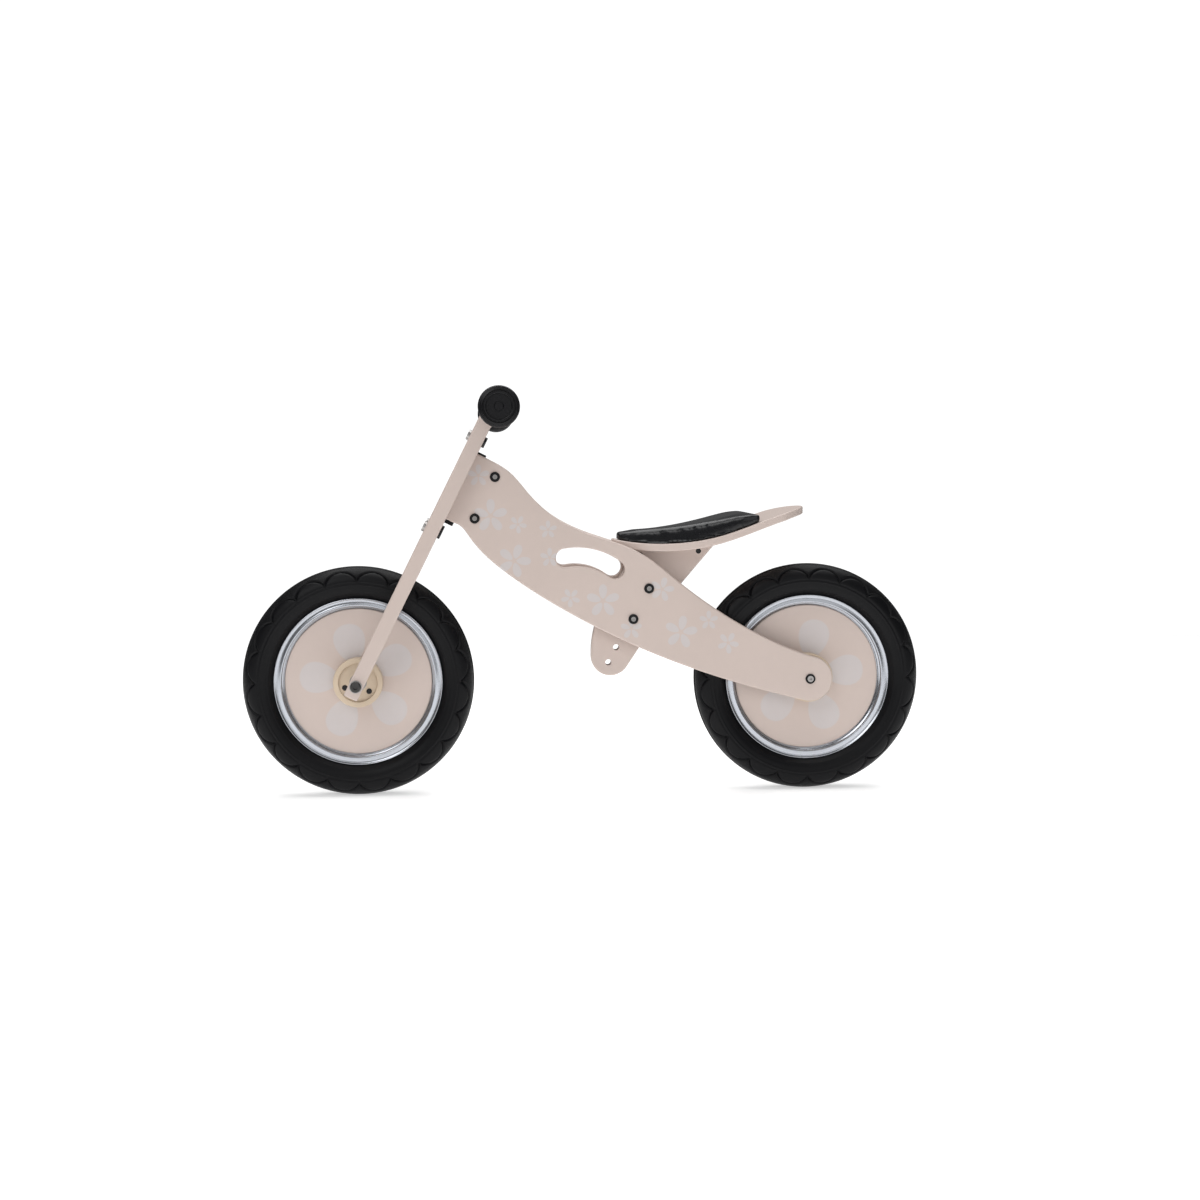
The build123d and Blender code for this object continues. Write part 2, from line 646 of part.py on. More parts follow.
def seat_cushion():
    """Padded cushion on the front of the seat board."""
    crown = []
    for along, height in CUSHION_TOP:
        x = CUSHION_FRONT + along
        crown.append((x, underside_height(x) + SEAT_THICKNESS + height))
    tip = (CUSHION_BACK, underside_height(CUSHION_BACK) + SEAT_THICKNESS + CUSHION_END_HEIGHT)
    side = make_face([
        Spline(*crown, tip),
        Line(tip, (CUSHION_BACK, 0)),
        Line((CUSHION_BACK, 0), (CUSHION_FRONT, 0)),
        Line((CUSHION_FRONT, 0), crown[0]),
    ])
    cushion = plate(side, -SEAT_BLANK_HALF_WIDTH, SEAT_BLANK_HALF_WIDTH)
    cushion = cushion & seat_column(seat_plan(CUSHION_INSET))
    cushion = cushion & seat_layer(SEAT_THICKNESS, 2 * POST_TOP_MARGIN, SEAT_BLANK_HALF_WIDTH)
    top_edges = cushion.faces().sort_by(Axis.Z)[-1].edges()
    return fillet(top_edges, CUSHION_ROUNDING)


# ---- fork ---------------------------------------------------------------------------
def crown_bolt_points():
    """Heights of the fore-and-aft bolts through the crowns."""
    return [
        (LOWER_CROWN_BOTTOM + LOWER_CROWN_TOP) / 2,
        (UPPER_CROWN_BOTTOM + UPPER_CROWN_TOP) / 2,
    ]


def fore_and_aft(radius, y, up, start, end):
    """Round bar along the steering frame's X axis."""
    return Pos((start + end) / 2, y, up) * Rot(0, 90, 0) * Cylinder(radius, end - start)


def crown_tenon(bottom):
    """Right tenon of a crown, also used to cut its mortise in the leg."""
    height = CROWN_HEIGHT - 2 * TENON_SHOULDER
    middle_y = LEG_INNER + TENON_LENGTH / 2
    return Pos(0, middle_y, bottom + CROWN_HEIGHT / 2) * Box(2 * TENON_HALF_DEPTH, TENON_LENGTH, height)


def bolt_y():
    """Distance of the crown bolts from the middle plane."""
    return LEG_INNER + TENON_LENGTH / 2


def crown(bottom):
    """Cross block between the legs with a tenon in each."""
    middle = bottom + CROWN_HEIGHT / 2
    block = Pos(0, 0, middle) * Box(LEG_DEPTH, 2 * LEG_INNER, CROWN_HEIGHT)
    block += left_and_right(crown_tenon(bottom))
    block -= upright(PIN_RADIUS, bottom, bottom + CROWN_HEIGHT)
    for side in (-1, 1):
        block -= fore_and_aft(CROWN_BOLT_RADIUS, side * bolt_y(), middle, -LEG_DEPTH, LEG_DEPTH)
    return in_steering_frame(block)


def bar_screw(side):
    """Wood screw through the back of a leg's eye into the handlebar."""
    y = side * (LEG_INNER + LEG_OUTER) / 2
    tip = HANDLEBAR_SETBACK + HANDLEBAR_RADIUS - 2 * HANDLEBAR_WALL
    face = HANDLEBAR_SETBACK + EYE_RADIUS
    bottom = face - BAR_SCREW_HEAD_HEIGHT
    shank = fore_and_aft(BAR_SCREW_RADIUS, y, HANDLEBAR_HEIGHT, tip, face)
    head = fore_and_aft(BAR_SCREW_HEAD_RADIUS, y, HANDLEBAR_HEIGHT, bottom, face + BAR_SCREW_HEAD_HEIGHT)
    return shank + head


def fork_leg():
    """Right leg: a straight bar with an eye for the handlebar at its top."""
    bar_height = HANDLEBAR_HEIGHT - LEG_END
    bar = Pos(0, (HANDLEBAR_HEIGHT + LEG_END) / 2) * Rectangle(LEG_DEPTH, bar_height)
    eye = Pos(HANDLEBAR_SETBACK, HANDLEBAR_HEIGHT) * Circle(EYE_RADIUS)
    outline = bar + eye
    back = outline.vertices().filter_by(lambda vertex: abs(vertex.X - LEG_DEPTH / 2) < RUNNING_GAP)
    outline = fillet(back.sort_by(Axis.Y)[-1], EYE_NECK_RADIUS)
    outline = fillet(outline.vertices().group_by(Axis.Y)[0], BOARD_ROUNDING)
    leg = round_faces(plate(outline, LEG_INNER, LEG_OUTER), BOARD_ROUNDING)
    leg -= rod(HANDLEBAR_RADIUS, HANDLEBAR_SETBACK, HANDLEBAR_HEIGHT, LEG_INNER, LEG_OUTER)
    leg -= rod(AXLE_RADIUS, 0, 0, LEG_INNER, LEG_OUTER)
    for bottom in (LOWER_CROWN_BOTTOM, UPPER_CROWN_BOTTOM):
        leg -= crown_tenon(bottom)
    for middle in crown_bolt_points():
        leg -= fore_and_aft(CROWN_BOLT_RADIUS, bolt_y(), middle, -LEG_DEPTH, LEG_DEPTH)
    return in_steering_frame(leg - bar_screw(1))


def crown_bolts():
    """Bolts through legs and tenons, heads at the front."""
    front = -LEG_DEPTH / 2
    bolts = []
    for middle in crown_bolt_points():
        for side in (-1, 1):
            y = side * bolt_y()
            shank = fore_and_aft(CROWN_BOLT_RADIUS, y, middle, front, LEG_DEPTH / 2 + CROWN_HEAD_HEIGHT / 2)
            head = fore_and_aft(CROWN_HEAD_RADIUS, y, middle, front - CROWN_HEAD_HEIGHT, front)
            bolts.append(in_steering_frame(shank + head))
    return bolts


def crown_nuts():
    """Closed nuts on the back ends of the crown bolts."""
    back = LEG_DEPTH / 2
    nuts = []
    for middle in crown_bolt_points():
        for side in (-1, 1):
            y = side * bolt_y()
            nut = fore_and_aft(CROWN_HEAD_RADIUS, y, middle, back, back + CROWN_HEAD_HEIGHT)
            nut -= fore_and_aft(CROWN_BOLT_RADIUS, y, middle, back, back + CROWN_HEAD_HEIGHT / 2)
            nuts.append(in_steering_frame(nut))
    return nuts


def steering_pin():
    """Bolt along the steering axis with its head on the upper crown."""
    shank = upright(PIN_RADIUS, LOWER_CROWN_BOTTOM - PIN_NUT_HEIGHT, UPPER_CROWN_TOP)
    head = upright(PIN_HEAD_RADIUS, UPPER_CROWN_TOP, UPPER_CROWN_TOP + PIN_HEAD_HEIGHT)
    top_edge = head.edges().filter_by(GeomType.CIRCLE).sort_by(Axis.Z)[-1]
    return in_steering_frame(shank + fillet(top_edge, PIN_HEAD_HEIGHT / 2))


def steering_pin_nut():
    """Hexagonal nut under the lower crown."""
    bottom = LOWER_CROWN_BOTTOM - PIN_NUT_HEIGHT
    nut = extrude(Plane.XY.offset(bottom) * RegularPolygon(PIN_NUT_RADIUS, 6), amount=PIN_NUT_HEIGHT)
    return in_steering_frame(nut - upright(PIN_RADIUS, bottom, LOWER_CROWN_BOTTOM))


def handlebar():
    """Straight steel tube through the eyes of both legs."""
    half = HANDLEBAR_LENGTH / 2
    bar = rod(HANDLEBAR_RADIUS, HANDLEBAR_SETBACK, HANDLEBAR_HEIGHT, -half, half)
    bar -= rod(HANDLEBAR_RADIUS - HANDLEBAR_WALL, HANDLEBAR_SETBACK, HANDLEBAR_HEIGHT, -half, half)
    for side in (-1, 1):
        bar -= bar_screw(side)
    return in_steering_frame(bar)


def grip():
    """Right rubber grip with an inner collar and a broad stepped end."""
    collar_end = GRIP_START + GRIP_COLLAR_LENGTH
    knob_start = GRIP_END - GRIP_END_LENGTH
    half = HANDLEBAR_LENGTH / 2
    profile = [
        (HANDLEBAR_RADIUS, GRIP_START),
        (GRIP_COLLAR_RADIUS, GRIP_START),
        (GRIP_COLLAR_RADIUS, collar_end),
        (GRIP_BODY_RADIUS, collar_end + GRIP_STEP),
        (GRIP_BODY_RADIUS, knob_start - GRIP_STEP),
        (GRIP_END_RADIUS - 2 * GRIP_STEP, knob_start),
        (GRIP_END_RADIUS - GRIP_STEP, knob_start + GRIP_STEP / 2),
        (GRIP_END_RADIUS, knob_start + GRIP_STEP),
        (GRIP_END_RADIUS, GRIP_END - GRIP_STEP),
        (GRIP_END_RADIUS - GRIP_STEP, GRIP_END),
        (0, GRIP_END),
        (0, half),
        (HANDLEBAR_RADIUS, half),
    ]
    return in_steering_frame(Pos(HANDLEBAR_SETBACK, 0, HANDLEBAR_HEIGHT) * turned(profile))


# ---- axles --------------------------------------------------------------------------
def at_front(piece):
    """Move a piece drawn about the world's Y axis to the front axle."""
    return Pos(FRONT_X, 0, TYRE_RADIUS) * piece


def front_axle():
    """Socket bolt through the legs and the front hub, head on the left."""
    face = LEG_OUTER + WASHER_THICKNESS
    head_face = face + AXLE_HEAD_HEIGHT
    shank = rod(AXLE_RADIUS, 0, 0, -face, face + AXLE_HEAD_HEIGHT / 2)
    head = rod(AXLE_HEAD_RADIUS, 0, 0, -head_face, -face)
    outer_edge = head.edges().filter_by(GeomType.CIRCLE).sort_by(Axis.Y)[0]
    head = fillet(outer_edge, WASHER_THICKNESS)
    recess = rod(AXLE_SOCKET_RADIUS, 0, 0, -head_face, SOCKET_DEPTH - head_face)
    return at_front(shank + head - recess)


def front_axle_nut():
    """Closed nut on the right end of the front axle."""
    face = LEG_OUTER + WASHER_THICKNESS
    outline = RegularPolygon(AXLE_HEAD_RADIUS, 6)
    nut = plate(outline, face, face + AXLE_HEAD_HEIGHT)
    return at_front(nut - rod(AXLE_RADIUS, 0, 0, face, face + AXLE_HEAD_HEIGHT / 2))


def ring(outer, inner, start, end):
    """Flat ring about the world's Y axis."""
    return rod(outer, 0, 0, start, end) - rod(inner, 0, 0, start, end)


def rear_axle():
    """Steel axle across the frame with a socket in each end."""
    return through_bolt(AXLE_RADIUS, REAR_X, TYRE_RADIUS)


def save_frame():
    """Write the pieces fixed to the frame."""
    right_panel, left_panel = left_and_right(side_panel())
    save("right_side_panel", right_panel)
    save("left_side_panel", left_panel)
    save("head_block", head_block())
    save("head_bolts", *[through_bolt(BOLT_RADIUS, x, z) for x, z in head_bolt_points()])
    caps = [bolt_caps(BOLT_RADIUS, SLEEVE_RADIUS, x, z) for x, z in head_bolt_points()]
    save("head_bolt_caps", *[cap for pair in caps for cap in pair])
    save("lower_steering_bush", steering_bush(HEAD_BOTTOM))
    save("upper_steering_bush", steering_bush(HEAD_TOP - BUSH_LENGTH))
    save("lower_bearing_plate", bearing_plate(HEAD_BOTTOM - LOWER_PLATE_THICKNESS, LOWER_PLATE_THICKNESS))
    save("upper_bearing_plate", bearing_plate(HEAD_TOP, UPPER_PLATE_THICKNESS))
    save("seat_post", seat_post())
    right_spacer, left_spacer = left_and_right(post_spacer())
    save("right_post_spacer", right_spacer)
    save("left_post_spacer", left_spacer)
    save("seat_post_bolts", *[through_bolt(BOLT_RADIUS, x, z) for x, z in post_bolt_points()])
    caps = [bolt_caps(BOLT_RADIUS, SLEEVE_RADIUS, x, z) for x, z in post_bolt_points()]
    save("seat_post_bolt_caps", *[cap for pair in caps for cap in pair])
    save("seat_board", seat_board())
    save("seat_screws", *seat_screws())
    save("seat_barrel_nuts", *barrel_nuts(True))
    save("seat_cushion", seat_cushion())
    save("rear_axle", rear_axle())
    save("rear_axle_caps", *bolt_caps(AXLE_RADIUS, AXLE_SLEEVE_RADIUS, REAR_X, TYRE_RADIUS))
    spacers = left_and_right(ring(SPACER_RADIUS, AXLE_RADIUS, SPACER_START, PANEL_INNER))
    save("rear_axle_spacers", *[Pos(REAR_X, 0, TYRE_RADIUS) * spacer for spacer in spacers])


def save_fork():
    """Write the pieces that turn with the handlebar."""
    right_leg, left_leg = left_and_right(fork_leg())
    save("right_fork_leg", right_leg)
    save("left_fork_leg", left_leg)
    save("lower_crown", crown(LOWER_CROWN_BOTTOM))
    save("upper_crown", crown(UPPER_CROWN_BOTTOM))
    save("crown_bolts", *crown_bolts())
    save("crown_nuts", *crown_nuts())
    save("steering_pin", steering_pin())
    save("steering_pin_nut", steering_pin_nut())
    save("handlebar", handlebar())
    save("handlebar_screws", *[in_steering_frame(bar_screw(side)) for side in (-1, 1)])
    right_grip, left_grip = left_and_right(grip())
    save("right_grip", right_grip)
    save("left_grip", left_grip)
    save("front_axle", front_axle())
    save("front_axle_nut", front_axle_nut())
    washers = left_and_right(ring(WASHER_RADIUS, AXLE_RADIUS, LEG_OUTER, LEG_OUTER + WASHER_THICKNESS))
    save("front_axle_washers", *[at_front(washer) for washer in washers])
    spacers = left_and_right(ring(SPACER_RADIUS, AXLE_RADIUS, SPACER_START, LEG_INNER))
    save("front_axle_spacers", *[at_front(spacer) for spacer in spacers])


os.makedirs("parts", exist_ok=True)
save_frame()
save_fork()
save_wheel("front", FRONT_X, FRONT_VALVE_ANGLE)
save_wheel("rear", REAR_X, REAR_VALVE_ANGLE)
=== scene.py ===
"""Finished looks of the balance bike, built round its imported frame.

Everything is in metres in the bike's own frame: +Z up, facing -X, left side -Y.
"""

import logging
import math
from dataclasses import dataclass, field
from enum import Enum
from typing import Sequence

import bmesh
import bpy
from mathutils import Matrix, Vector


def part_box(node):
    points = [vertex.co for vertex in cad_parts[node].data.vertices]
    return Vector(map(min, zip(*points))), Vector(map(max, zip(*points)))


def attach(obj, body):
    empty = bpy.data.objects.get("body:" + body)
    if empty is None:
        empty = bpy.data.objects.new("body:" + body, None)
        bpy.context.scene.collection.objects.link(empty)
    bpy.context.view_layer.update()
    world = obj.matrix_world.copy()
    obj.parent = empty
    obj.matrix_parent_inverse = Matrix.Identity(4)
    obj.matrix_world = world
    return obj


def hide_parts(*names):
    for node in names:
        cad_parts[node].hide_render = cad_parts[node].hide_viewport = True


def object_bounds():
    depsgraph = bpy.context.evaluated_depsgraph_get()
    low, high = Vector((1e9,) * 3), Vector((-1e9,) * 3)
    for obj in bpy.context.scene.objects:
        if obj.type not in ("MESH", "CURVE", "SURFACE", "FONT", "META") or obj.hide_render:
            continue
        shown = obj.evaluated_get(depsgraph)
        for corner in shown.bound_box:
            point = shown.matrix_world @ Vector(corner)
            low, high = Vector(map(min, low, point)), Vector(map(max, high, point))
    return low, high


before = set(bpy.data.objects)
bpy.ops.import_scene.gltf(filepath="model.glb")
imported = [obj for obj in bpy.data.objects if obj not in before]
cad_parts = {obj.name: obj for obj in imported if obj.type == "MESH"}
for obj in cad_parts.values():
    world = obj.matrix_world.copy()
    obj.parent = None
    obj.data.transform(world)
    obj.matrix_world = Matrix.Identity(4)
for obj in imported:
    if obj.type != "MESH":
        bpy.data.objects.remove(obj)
CAD_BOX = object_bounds()

log = logging.getLogger("balance_bike")

MM = 0.001
AXIS_GAP = 0.01 * MM
Point = tuple[float, float, float]
Object = bpy.types.Object
Tree = bpy.types.NodeTree
Socket = bpy.types.NodeSocket
Sockets = bpy.types.bpy_prop_collection
Profile = Sequence[tuple[float, float]]


class Side(Enum):
    """Sides of the bike, with the sign of their Y."""

    LEFT = -1
    RIGHT = 1


class Body(Enum):
    """Rigid bodies of the frame that pieces ride on."""

    FRAME = "frame"
    FORK = "fork"
    FRONT_WHEEL = "front_wheel"
    REAR_WHEEL = "rear_wheel"


# ---- node graphs ----------------------------------------------------------------------
class Graph:
    """Adds and joins nodes in one node tree."""

    MIX_LOW = 6
    MIX_HIGH = 7
    MIX_RESULT = 2

    def __init__(self, tree: Tree) -> None:
        """Start on an empty tree."""
        self.tree = tree

    def feed(self, target: Socket, value: object) -> None:
        """Link a socket to a target, or set the target to a plain value.

        Args:
            target: Input socket.
            value: Output socket, number or tuple.
        """
        if isinstance(value, Socket):
            self.tree.links.new(value, target)
        else:
            target.default_value = value

    def add(
        self, kind: str, inputs: dict[str | int, object] | None = None, **settings: object
    ) -> bpy.types.Node:
        """Add a node.

        Args:
            kind: Node type name.
            inputs: Sockets or plain values for its inputs, by name or number.
            **settings: Properties to set on it.

        Returns:
            The new node.
        """
        node = self.tree.nodes.new(kind)
        for name, value in settings.items():
            setattr(node, name, value)
        for key, value in (inputs or {}).items():
            self.feed(node.inputs[key], value)
        return node

    def place(self, group: Tree, **inputs: object) -> Sockets:
        """Outputs of a shared effect whose inputs are given by name."""
        return self.add("ShaderNodeGroup", inputs, node_tree=group).outputs

    def math(self, operation: str, *values: object, clamp: bool = False) -> Socket:
        """Number from a Math node with the given inputs in order."""
        node = self.add("ShaderNodeMath", dict(enumerate(values)), operation=operation, use_clamp=clamp)
        return node.outputs[0]

    def vector(self, operation: str, *values: object) -> Socket:
        """Vector from a Vector Math node with the given inputs in order."""
        node = self.add("ShaderNodeVectorMath", dict(enumerate(values)), operation=operation)
        return node.outputs["Vector"]

    def scaled(self, vector: object, factor: object) -> Socket:
        """Vector or colour multiplied by a number."""
        node = self.add("ShaderNodeVectorMath", {0: vector, "Scale": factor}, operation="SCALE")
        return node.outputs["Vector"]

    def split(self, vector: object) -> tuple[Socket, ...]:
        """X, Y and Z sockets of a vector."""
        return tuple(self.add("ShaderNodeSeparateXYZ", {0: vector}).outputs)

    def mix(self, factor: object, low: object, high: object) -> Socket:
        """Colour that goes from low at factor 0 to high at factor 1."""
        inputs = {"Factor": factor, self.MIX_LOW: low, self.MIX_HIGH: high}
        return self.add("ShaderNodeMix", inputs, data_type="RGBA").outputs[self.MIX_RESULT]

    def ramp(self, value: object, start: object, end: object) -> Socket:
        """Smooth step of a value from 0 at start to 1 at end."""
        inputs = {"Value": value, "From Min": start, "From Max": end}
        return self.add("ShaderNodeMapRange", inputs, interpolation_type="SMOOTHSTEP").outputs["Result"]

    def noise(self, position: object, scale: object, detail: float) -> Socket:
        """Noise at a position in metres, with scale features per metre."""
        inputs = {"Vector": position, "Scale": scale, "Detail": detail}
        return self.add("ShaderNodeTexNoise", inputs).outputs[0]


FLOAT = "NodeSocketFloat"
VECTOR = "NodeSocketVector"
COLOUR = "NodeSocketColor"
WHITE = (1.0, 1.0, 1.0, 1.0)


def new_group(
    name: str, inputs: dict[str, str], outputs: dict[str, str]
) -> tuple[Graph, Sockets, Sockets]:
    """Make an empty shader node group.

    Args:
        name: Name of the group.
        inputs: Kind of each input socket, by name.
        outputs: Kind of each output socket, by name.

    Returns:
        Graph of the group, the sockets it is given and the sockets of its result.
    """
    tree = bpy.data.node_groups.new(name, "ShaderNodeTree")
    for direction, kinds in (("INPUT", inputs), ("OUTPUT", outputs)):
        for socket, kind in kinds.items():
            tree.interface.new_socket(socket, in_out=direction, socket_type=kind)
    graph = Graph(tree)
    return graph, graph.add("NodeGroupInput").outputs, graph.add("NodeGroupOutput").inputs


def build_mottle() -> Tree:
    """Group that varies a colour and a roughness softly over a surface.

    Returns:
        The group, with Colour and Roughness outputs.
    """
    graph, given, result = new_group(
        "mottle",
        {"Position": VECTOR, "Colour": COLOUR, "Roughness": FLOAT, "Scale": FLOAT, "Amount": FLOAT},
        {"Colour": COLOUR, "Roughness": FLOAT},
    )
    fine_factor = 12.0
    fine_share = 0.35
    average = (1.0 + fine_share) / 2
    broad = graph.noise(given["Position"], given["Scale"], 3.0)
    fine = graph.noise(given["Position"], graph.math("MULTIPLY", given["Scale"], fine_factor), 2.0)
    both = graph.math("ADD", broad, graph.math("MULTIPLY", fine, fine_share))
    swing = graph.math("SUBTRACT", both, average)
    gain = graph.math("MULTIPLY_ADD", graph.math("MULTIPLY", swing, given["Amount"]), 2.0, 1.0)
    graph.feed(result["Colour"], graph.scaled(given["Colour"], gain))
    rough = graph.math("MULTIPLY_ADD", swing, given["Amount"], given["Roughness"], clamp=True)
    graph.feed(result["Roughness"], rough)
    return graph.tree


def build_pebble() -> Tree:
    """Group that gives the height of a fine pebbled or sprayed surface.

    Returns:
        The group, with a Height output in metres.
    """
    graph, given, result = new_group(
        "pebble", {"Position": VECTOR, "Scale": FLOAT, "Depth": FLOAT}, {"Height": FLOAT}
    )
    soft = graph.noise(given["Position"], given["Scale"], 2.0)
    place = {"Vector": given["Position"], "Scale": given["Scale"]}
    cells = graph.add("ShaderNodeTexVoronoi", place, feature="SMOOTH_F1")
    both = graph.math("ADD", soft, cells.outputs["Distance"])
    graph.feed(result["Height"], graph.math("MULTIPLY", both, given["Depth"]))
    return graph.tree


def build_brushing() -> Tree:
    """Group that gives the height of turned lines round an axle along Y.

    Returns:
        The group, with a Height output in metres.
    """
    graph, given, result = new_group(
        "brushing", {"Position": VECTOR, "Pitch": FLOAT, "Depth": FLOAT}, {"Height": FLOAT}
    )
    x, y, z = graph.split(given["Position"])
    flat = graph.add("ShaderNodeCombineXYZ", {"X": x, "Y": z}).outputs[0]
    radius = graph.add("ShaderNodeVectorMath", {0: flat}, operation="LENGTH").outputs["Value"]
    along = graph.math("DIVIDE", radius, given["Pitch"])
    across = graph.math("DIVIDE", y, given["Pitch"])
    lines = graph.add("ShaderNodeCombineXYZ", {"X": along, "Y": across}).outputs[0]
    grooves = graph.noise(lines, 1.0, 3.0)
    graph.feed(result["Height"], graph.math("MULTIPLY", grooves, given["Depth"]))
    return graph.tree


def build_petals() -> Tree:
    """Group that masks a ring of equal oval petals on the bike's side faces.

    Returns:
        The group, with a Mask output.
    """
    sizes = dict.fromkeys(("Reach", "Length", "Width", "Turn"), FLOAT)
    graph, given, result = new_group(
        "petals", {"Position": VECTOR, "Centre": VECTOR, **sizes}, {"Mask": FLOAT}
    )
    petal_count = 5
    petal_angle = math.tau / petal_count
    outer_swell = 0.22
    edge_start, edge_end = 0.93, 1.03
    x, _, z = graph.split(graph.vector("SUBTRACT", given["Position"], given["Centre"]))
    squares = graph.math("MULTIPLY_ADD", x, x, graph.math("MULTIPLY", z, z))
    radius = graph.math("SQRT", squares)
    angle = graph.math("SUBTRACT", graph.math("ARCTAN2", z, x), given["Turn"])
    shifted = graph.math("ADD", angle, petal_angle / 2 + math.tau)
    folded = graph.math("SUBTRACT", graph.math("MODULO", shifted, petal_angle), petal_angle / 2)
    along = graph.math("MULTIPLY", radius, graph.math("COSINE", folded))
    across = graph.math("MULTIPLY", radius, graph.math("SINE", folded))
    long_part = graph.math("DIVIDE", graph.math("SUBTRACT", along, given["Reach"]), given["Length"])
    girth = graph.math("MULTIPLY_ADD", long_part, outer_swell, 1.0)
    wide_part = graph.math("DIVIDE", across, graph.math("MULTIPLY", given["Width"], girth))
    total = graph.math("MULTIPLY_ADD", long_part, long_part, graph.math("MULTIPLY", wide_part, wide_part))
    outside = graph.ramp(graph.math("SQRT", total), edge_start, edge_end)
    graph.feed(result["Mask"], graph.math("SUBTRACT", 1.0, outside))
    return graph.tree


def build_tread_ribs() -> Tree:
    """Group that gives the height of slanted fine ribs inside a masked band.

    Returns:
        The group, with a Height output in metres.
    """
    graph, given, result = new_group(
        "tread_ribs",
        {"Place": VECTOR, "Mask": FLOAT, "Pitch": FLOAT, "Depth": FLOAT},
        {"Height": FLOAT},
    )
    foot, top = -0.2, 0.5
    x, y, _ = graph.split(given["Place"])
    slanted = graph.math("ADD", x, graph.math("ABSOLUTE", y))
    phase = graph.math("DIVIDE", slanted, given["Pitch"])
    wave = graph.math("SINE", graph.math("MULTIPLY", phase, math.tau))
    depth = graph.math("MULTIPLY", graph.ramp(wave, foot, top), given["Depth"])
    graph.feed(result["Height"], graph.math("MULTIPLY", depth, given["Mask"]))
    return graph.tree


@dataclass(frozen=True)
class EffectLibrary:
    """Shader effects shared by the finishes, each built once."""

    mottle: Tree = field(default_factory=build_mottle)
    pebble: Tree = field(default_factory=build_pebble)
    brushing: Tree = field(default_factory=build_brushing)
    petals: Tree = field(default_factory=build_petals)
    tread_ribs: Tree = field(default_factory=build_tread_ribs)


# ---- finishes -------------------------------------------------------------------------
PINK = (0.63, 0.525, 0.475)
PETAL = (0.62, 0.57, 0.56)
COAT_ROUGHNESS = 0.12


@dataclass(frozen=True)
class Flower:
    """One printed flower: centre on the side faces, size and turn in degrees."""

    x: float
    z: float
    size: float
    turn: float = 90.0


@dataclass(frozen=True)
class Finish:
    """A surface finish: colour that varies softly, roughness and a fine relief."""

    name: str
    colour: Point
    roughness: float
    metallic: float = 0.0
    coat: float = 0.0
    mottle_scale: float = 9.0
    mottle_amount: float = 0.08
    relief_scale: float = 900.0
    relief_depth: float = 0.00002
    shine: float = 0.5
    glow: float = 0.0

    def build(self, effects: EffectLibrary) -> bpy.types.Material:
        """Make the material.

        Args:
            effects: Shared shader effects.

        Returns:
            The finished material.
        """
        material = bpy.data.materials.new(self.name)
        material.use_nodes = True
        material.node_tree.nodes.clear()
        graph = Graph(material.node_tree)
        position = graph.add("ShaderNodeTexCoord").outputs["Object"]
        mottle = graph.place(
            effects.mottle,
            Position=position,
            Colour=self.tint(graph, effects, position),
            Roughness=self.roughness,
            Scale=self.mottle_scale,
            Amount=self.mottle_amount,
        )
        height = self.relief(graph, effects, position)
        bump = graph.add("ShaderNodeBump", {"Height": height, "Distance": 1.0})
        looks = {
            "Base Color": mottle["Colour"],
            "Roughness": mottle["Roughness"],
            "Metallic": self.metallic,
            "Coat Weight": self.coat,
            "Coat Roughness": COAT_ROUGHNESS,
            "Specular IOR Level": self.shine,
            "Normal": bump.outputs["Normal"],
        }
        if self.glow > 0.0:
            looks["Emission Color"] = WHITE
            looks["Emission Strength"] = self.glow
        surface = graph.add("ShaderNodeBsdfPrincipled", looks)
        graph.add("ShaderNodeOutputMaterial", {"Surface": surface.outputs["BSDF"]})
        return material

    def tint(self, graph: Graph, effects: EffectLibrary, position: Socket) -> object:
        """Base colour before its soft variation."""
        return (*self.colour, 1.0)

    def relief(self, graph: Graph, effects: EffectLibrary, position: Socket) -> object:
        """Height socket of the fine surface relief, in metres."""
        sizes = {"Scale": self.relief_scale, "Depth": self.relief_depth}
        return graph.place(effects.pebble, Position=position, **sizes)["Height"]


@dataclass(frozen=True)
class SatinPaint(Finish):
    """The satin paint of the wooden pieces."""

    colour: Point = PINK
    roughness: float = 0.42
    coat: float = 0.15
    mottle_amount: float = 0.05
    relief_scale: float = 700.0


@dataclass(frozen=True)
class PrintedPaint(SatinPaint):
    """Satin paint with pale flowers printed on it."""

    print_colour: Point = PETAL
    strength: float = 0.95
    ink_scale: float = 260.0
    ink_variation: float = 0.3
    flowers: tuple[Flower, ...] = ()
    petal_reach: float = 0.47
    petal_length: float = 0.36
    petal_width: float = 0.2

    def tint(self, graph: Graph, effects: EffectLibrary, position: Socket) -> object:
        """Paint colour with the flowers laid over it.

        Args:
            graph: Graph of the material.
            effects: Shared shader effects.
            position: Object coordinates.

        Returns:
            The colour's socket.
        """
        mask: object = 0.0
        for flower in self.flowers:
            petals = graph.place(
                effects.petals,
                Position=position,
                Centre=(flower.x, 0.0, flower.z),
                Reach=flower.size * self.petal_reach,
                Length=flower.size * self.petal_length,
                Width=flower.size * self.petal_width,
                Turn=math.radians(flower.turn),
            )
            mask = graph.math("MAXIMUM", mask, petals["Mask"])
        ink = graph.noise(position, self.ink_scale, 3.0)
        thinnest = self.strength - self.ink_variation / 2
        thickness = graph.math("MULTIPLY_ADD", ink, self.ink_variation, thinnest)
        cover = graph.math("MULTIPLY", mask, thickness)
        return graph.mix(cover, (*self.colour, 1.0), (*self.print_colour, 1.0))


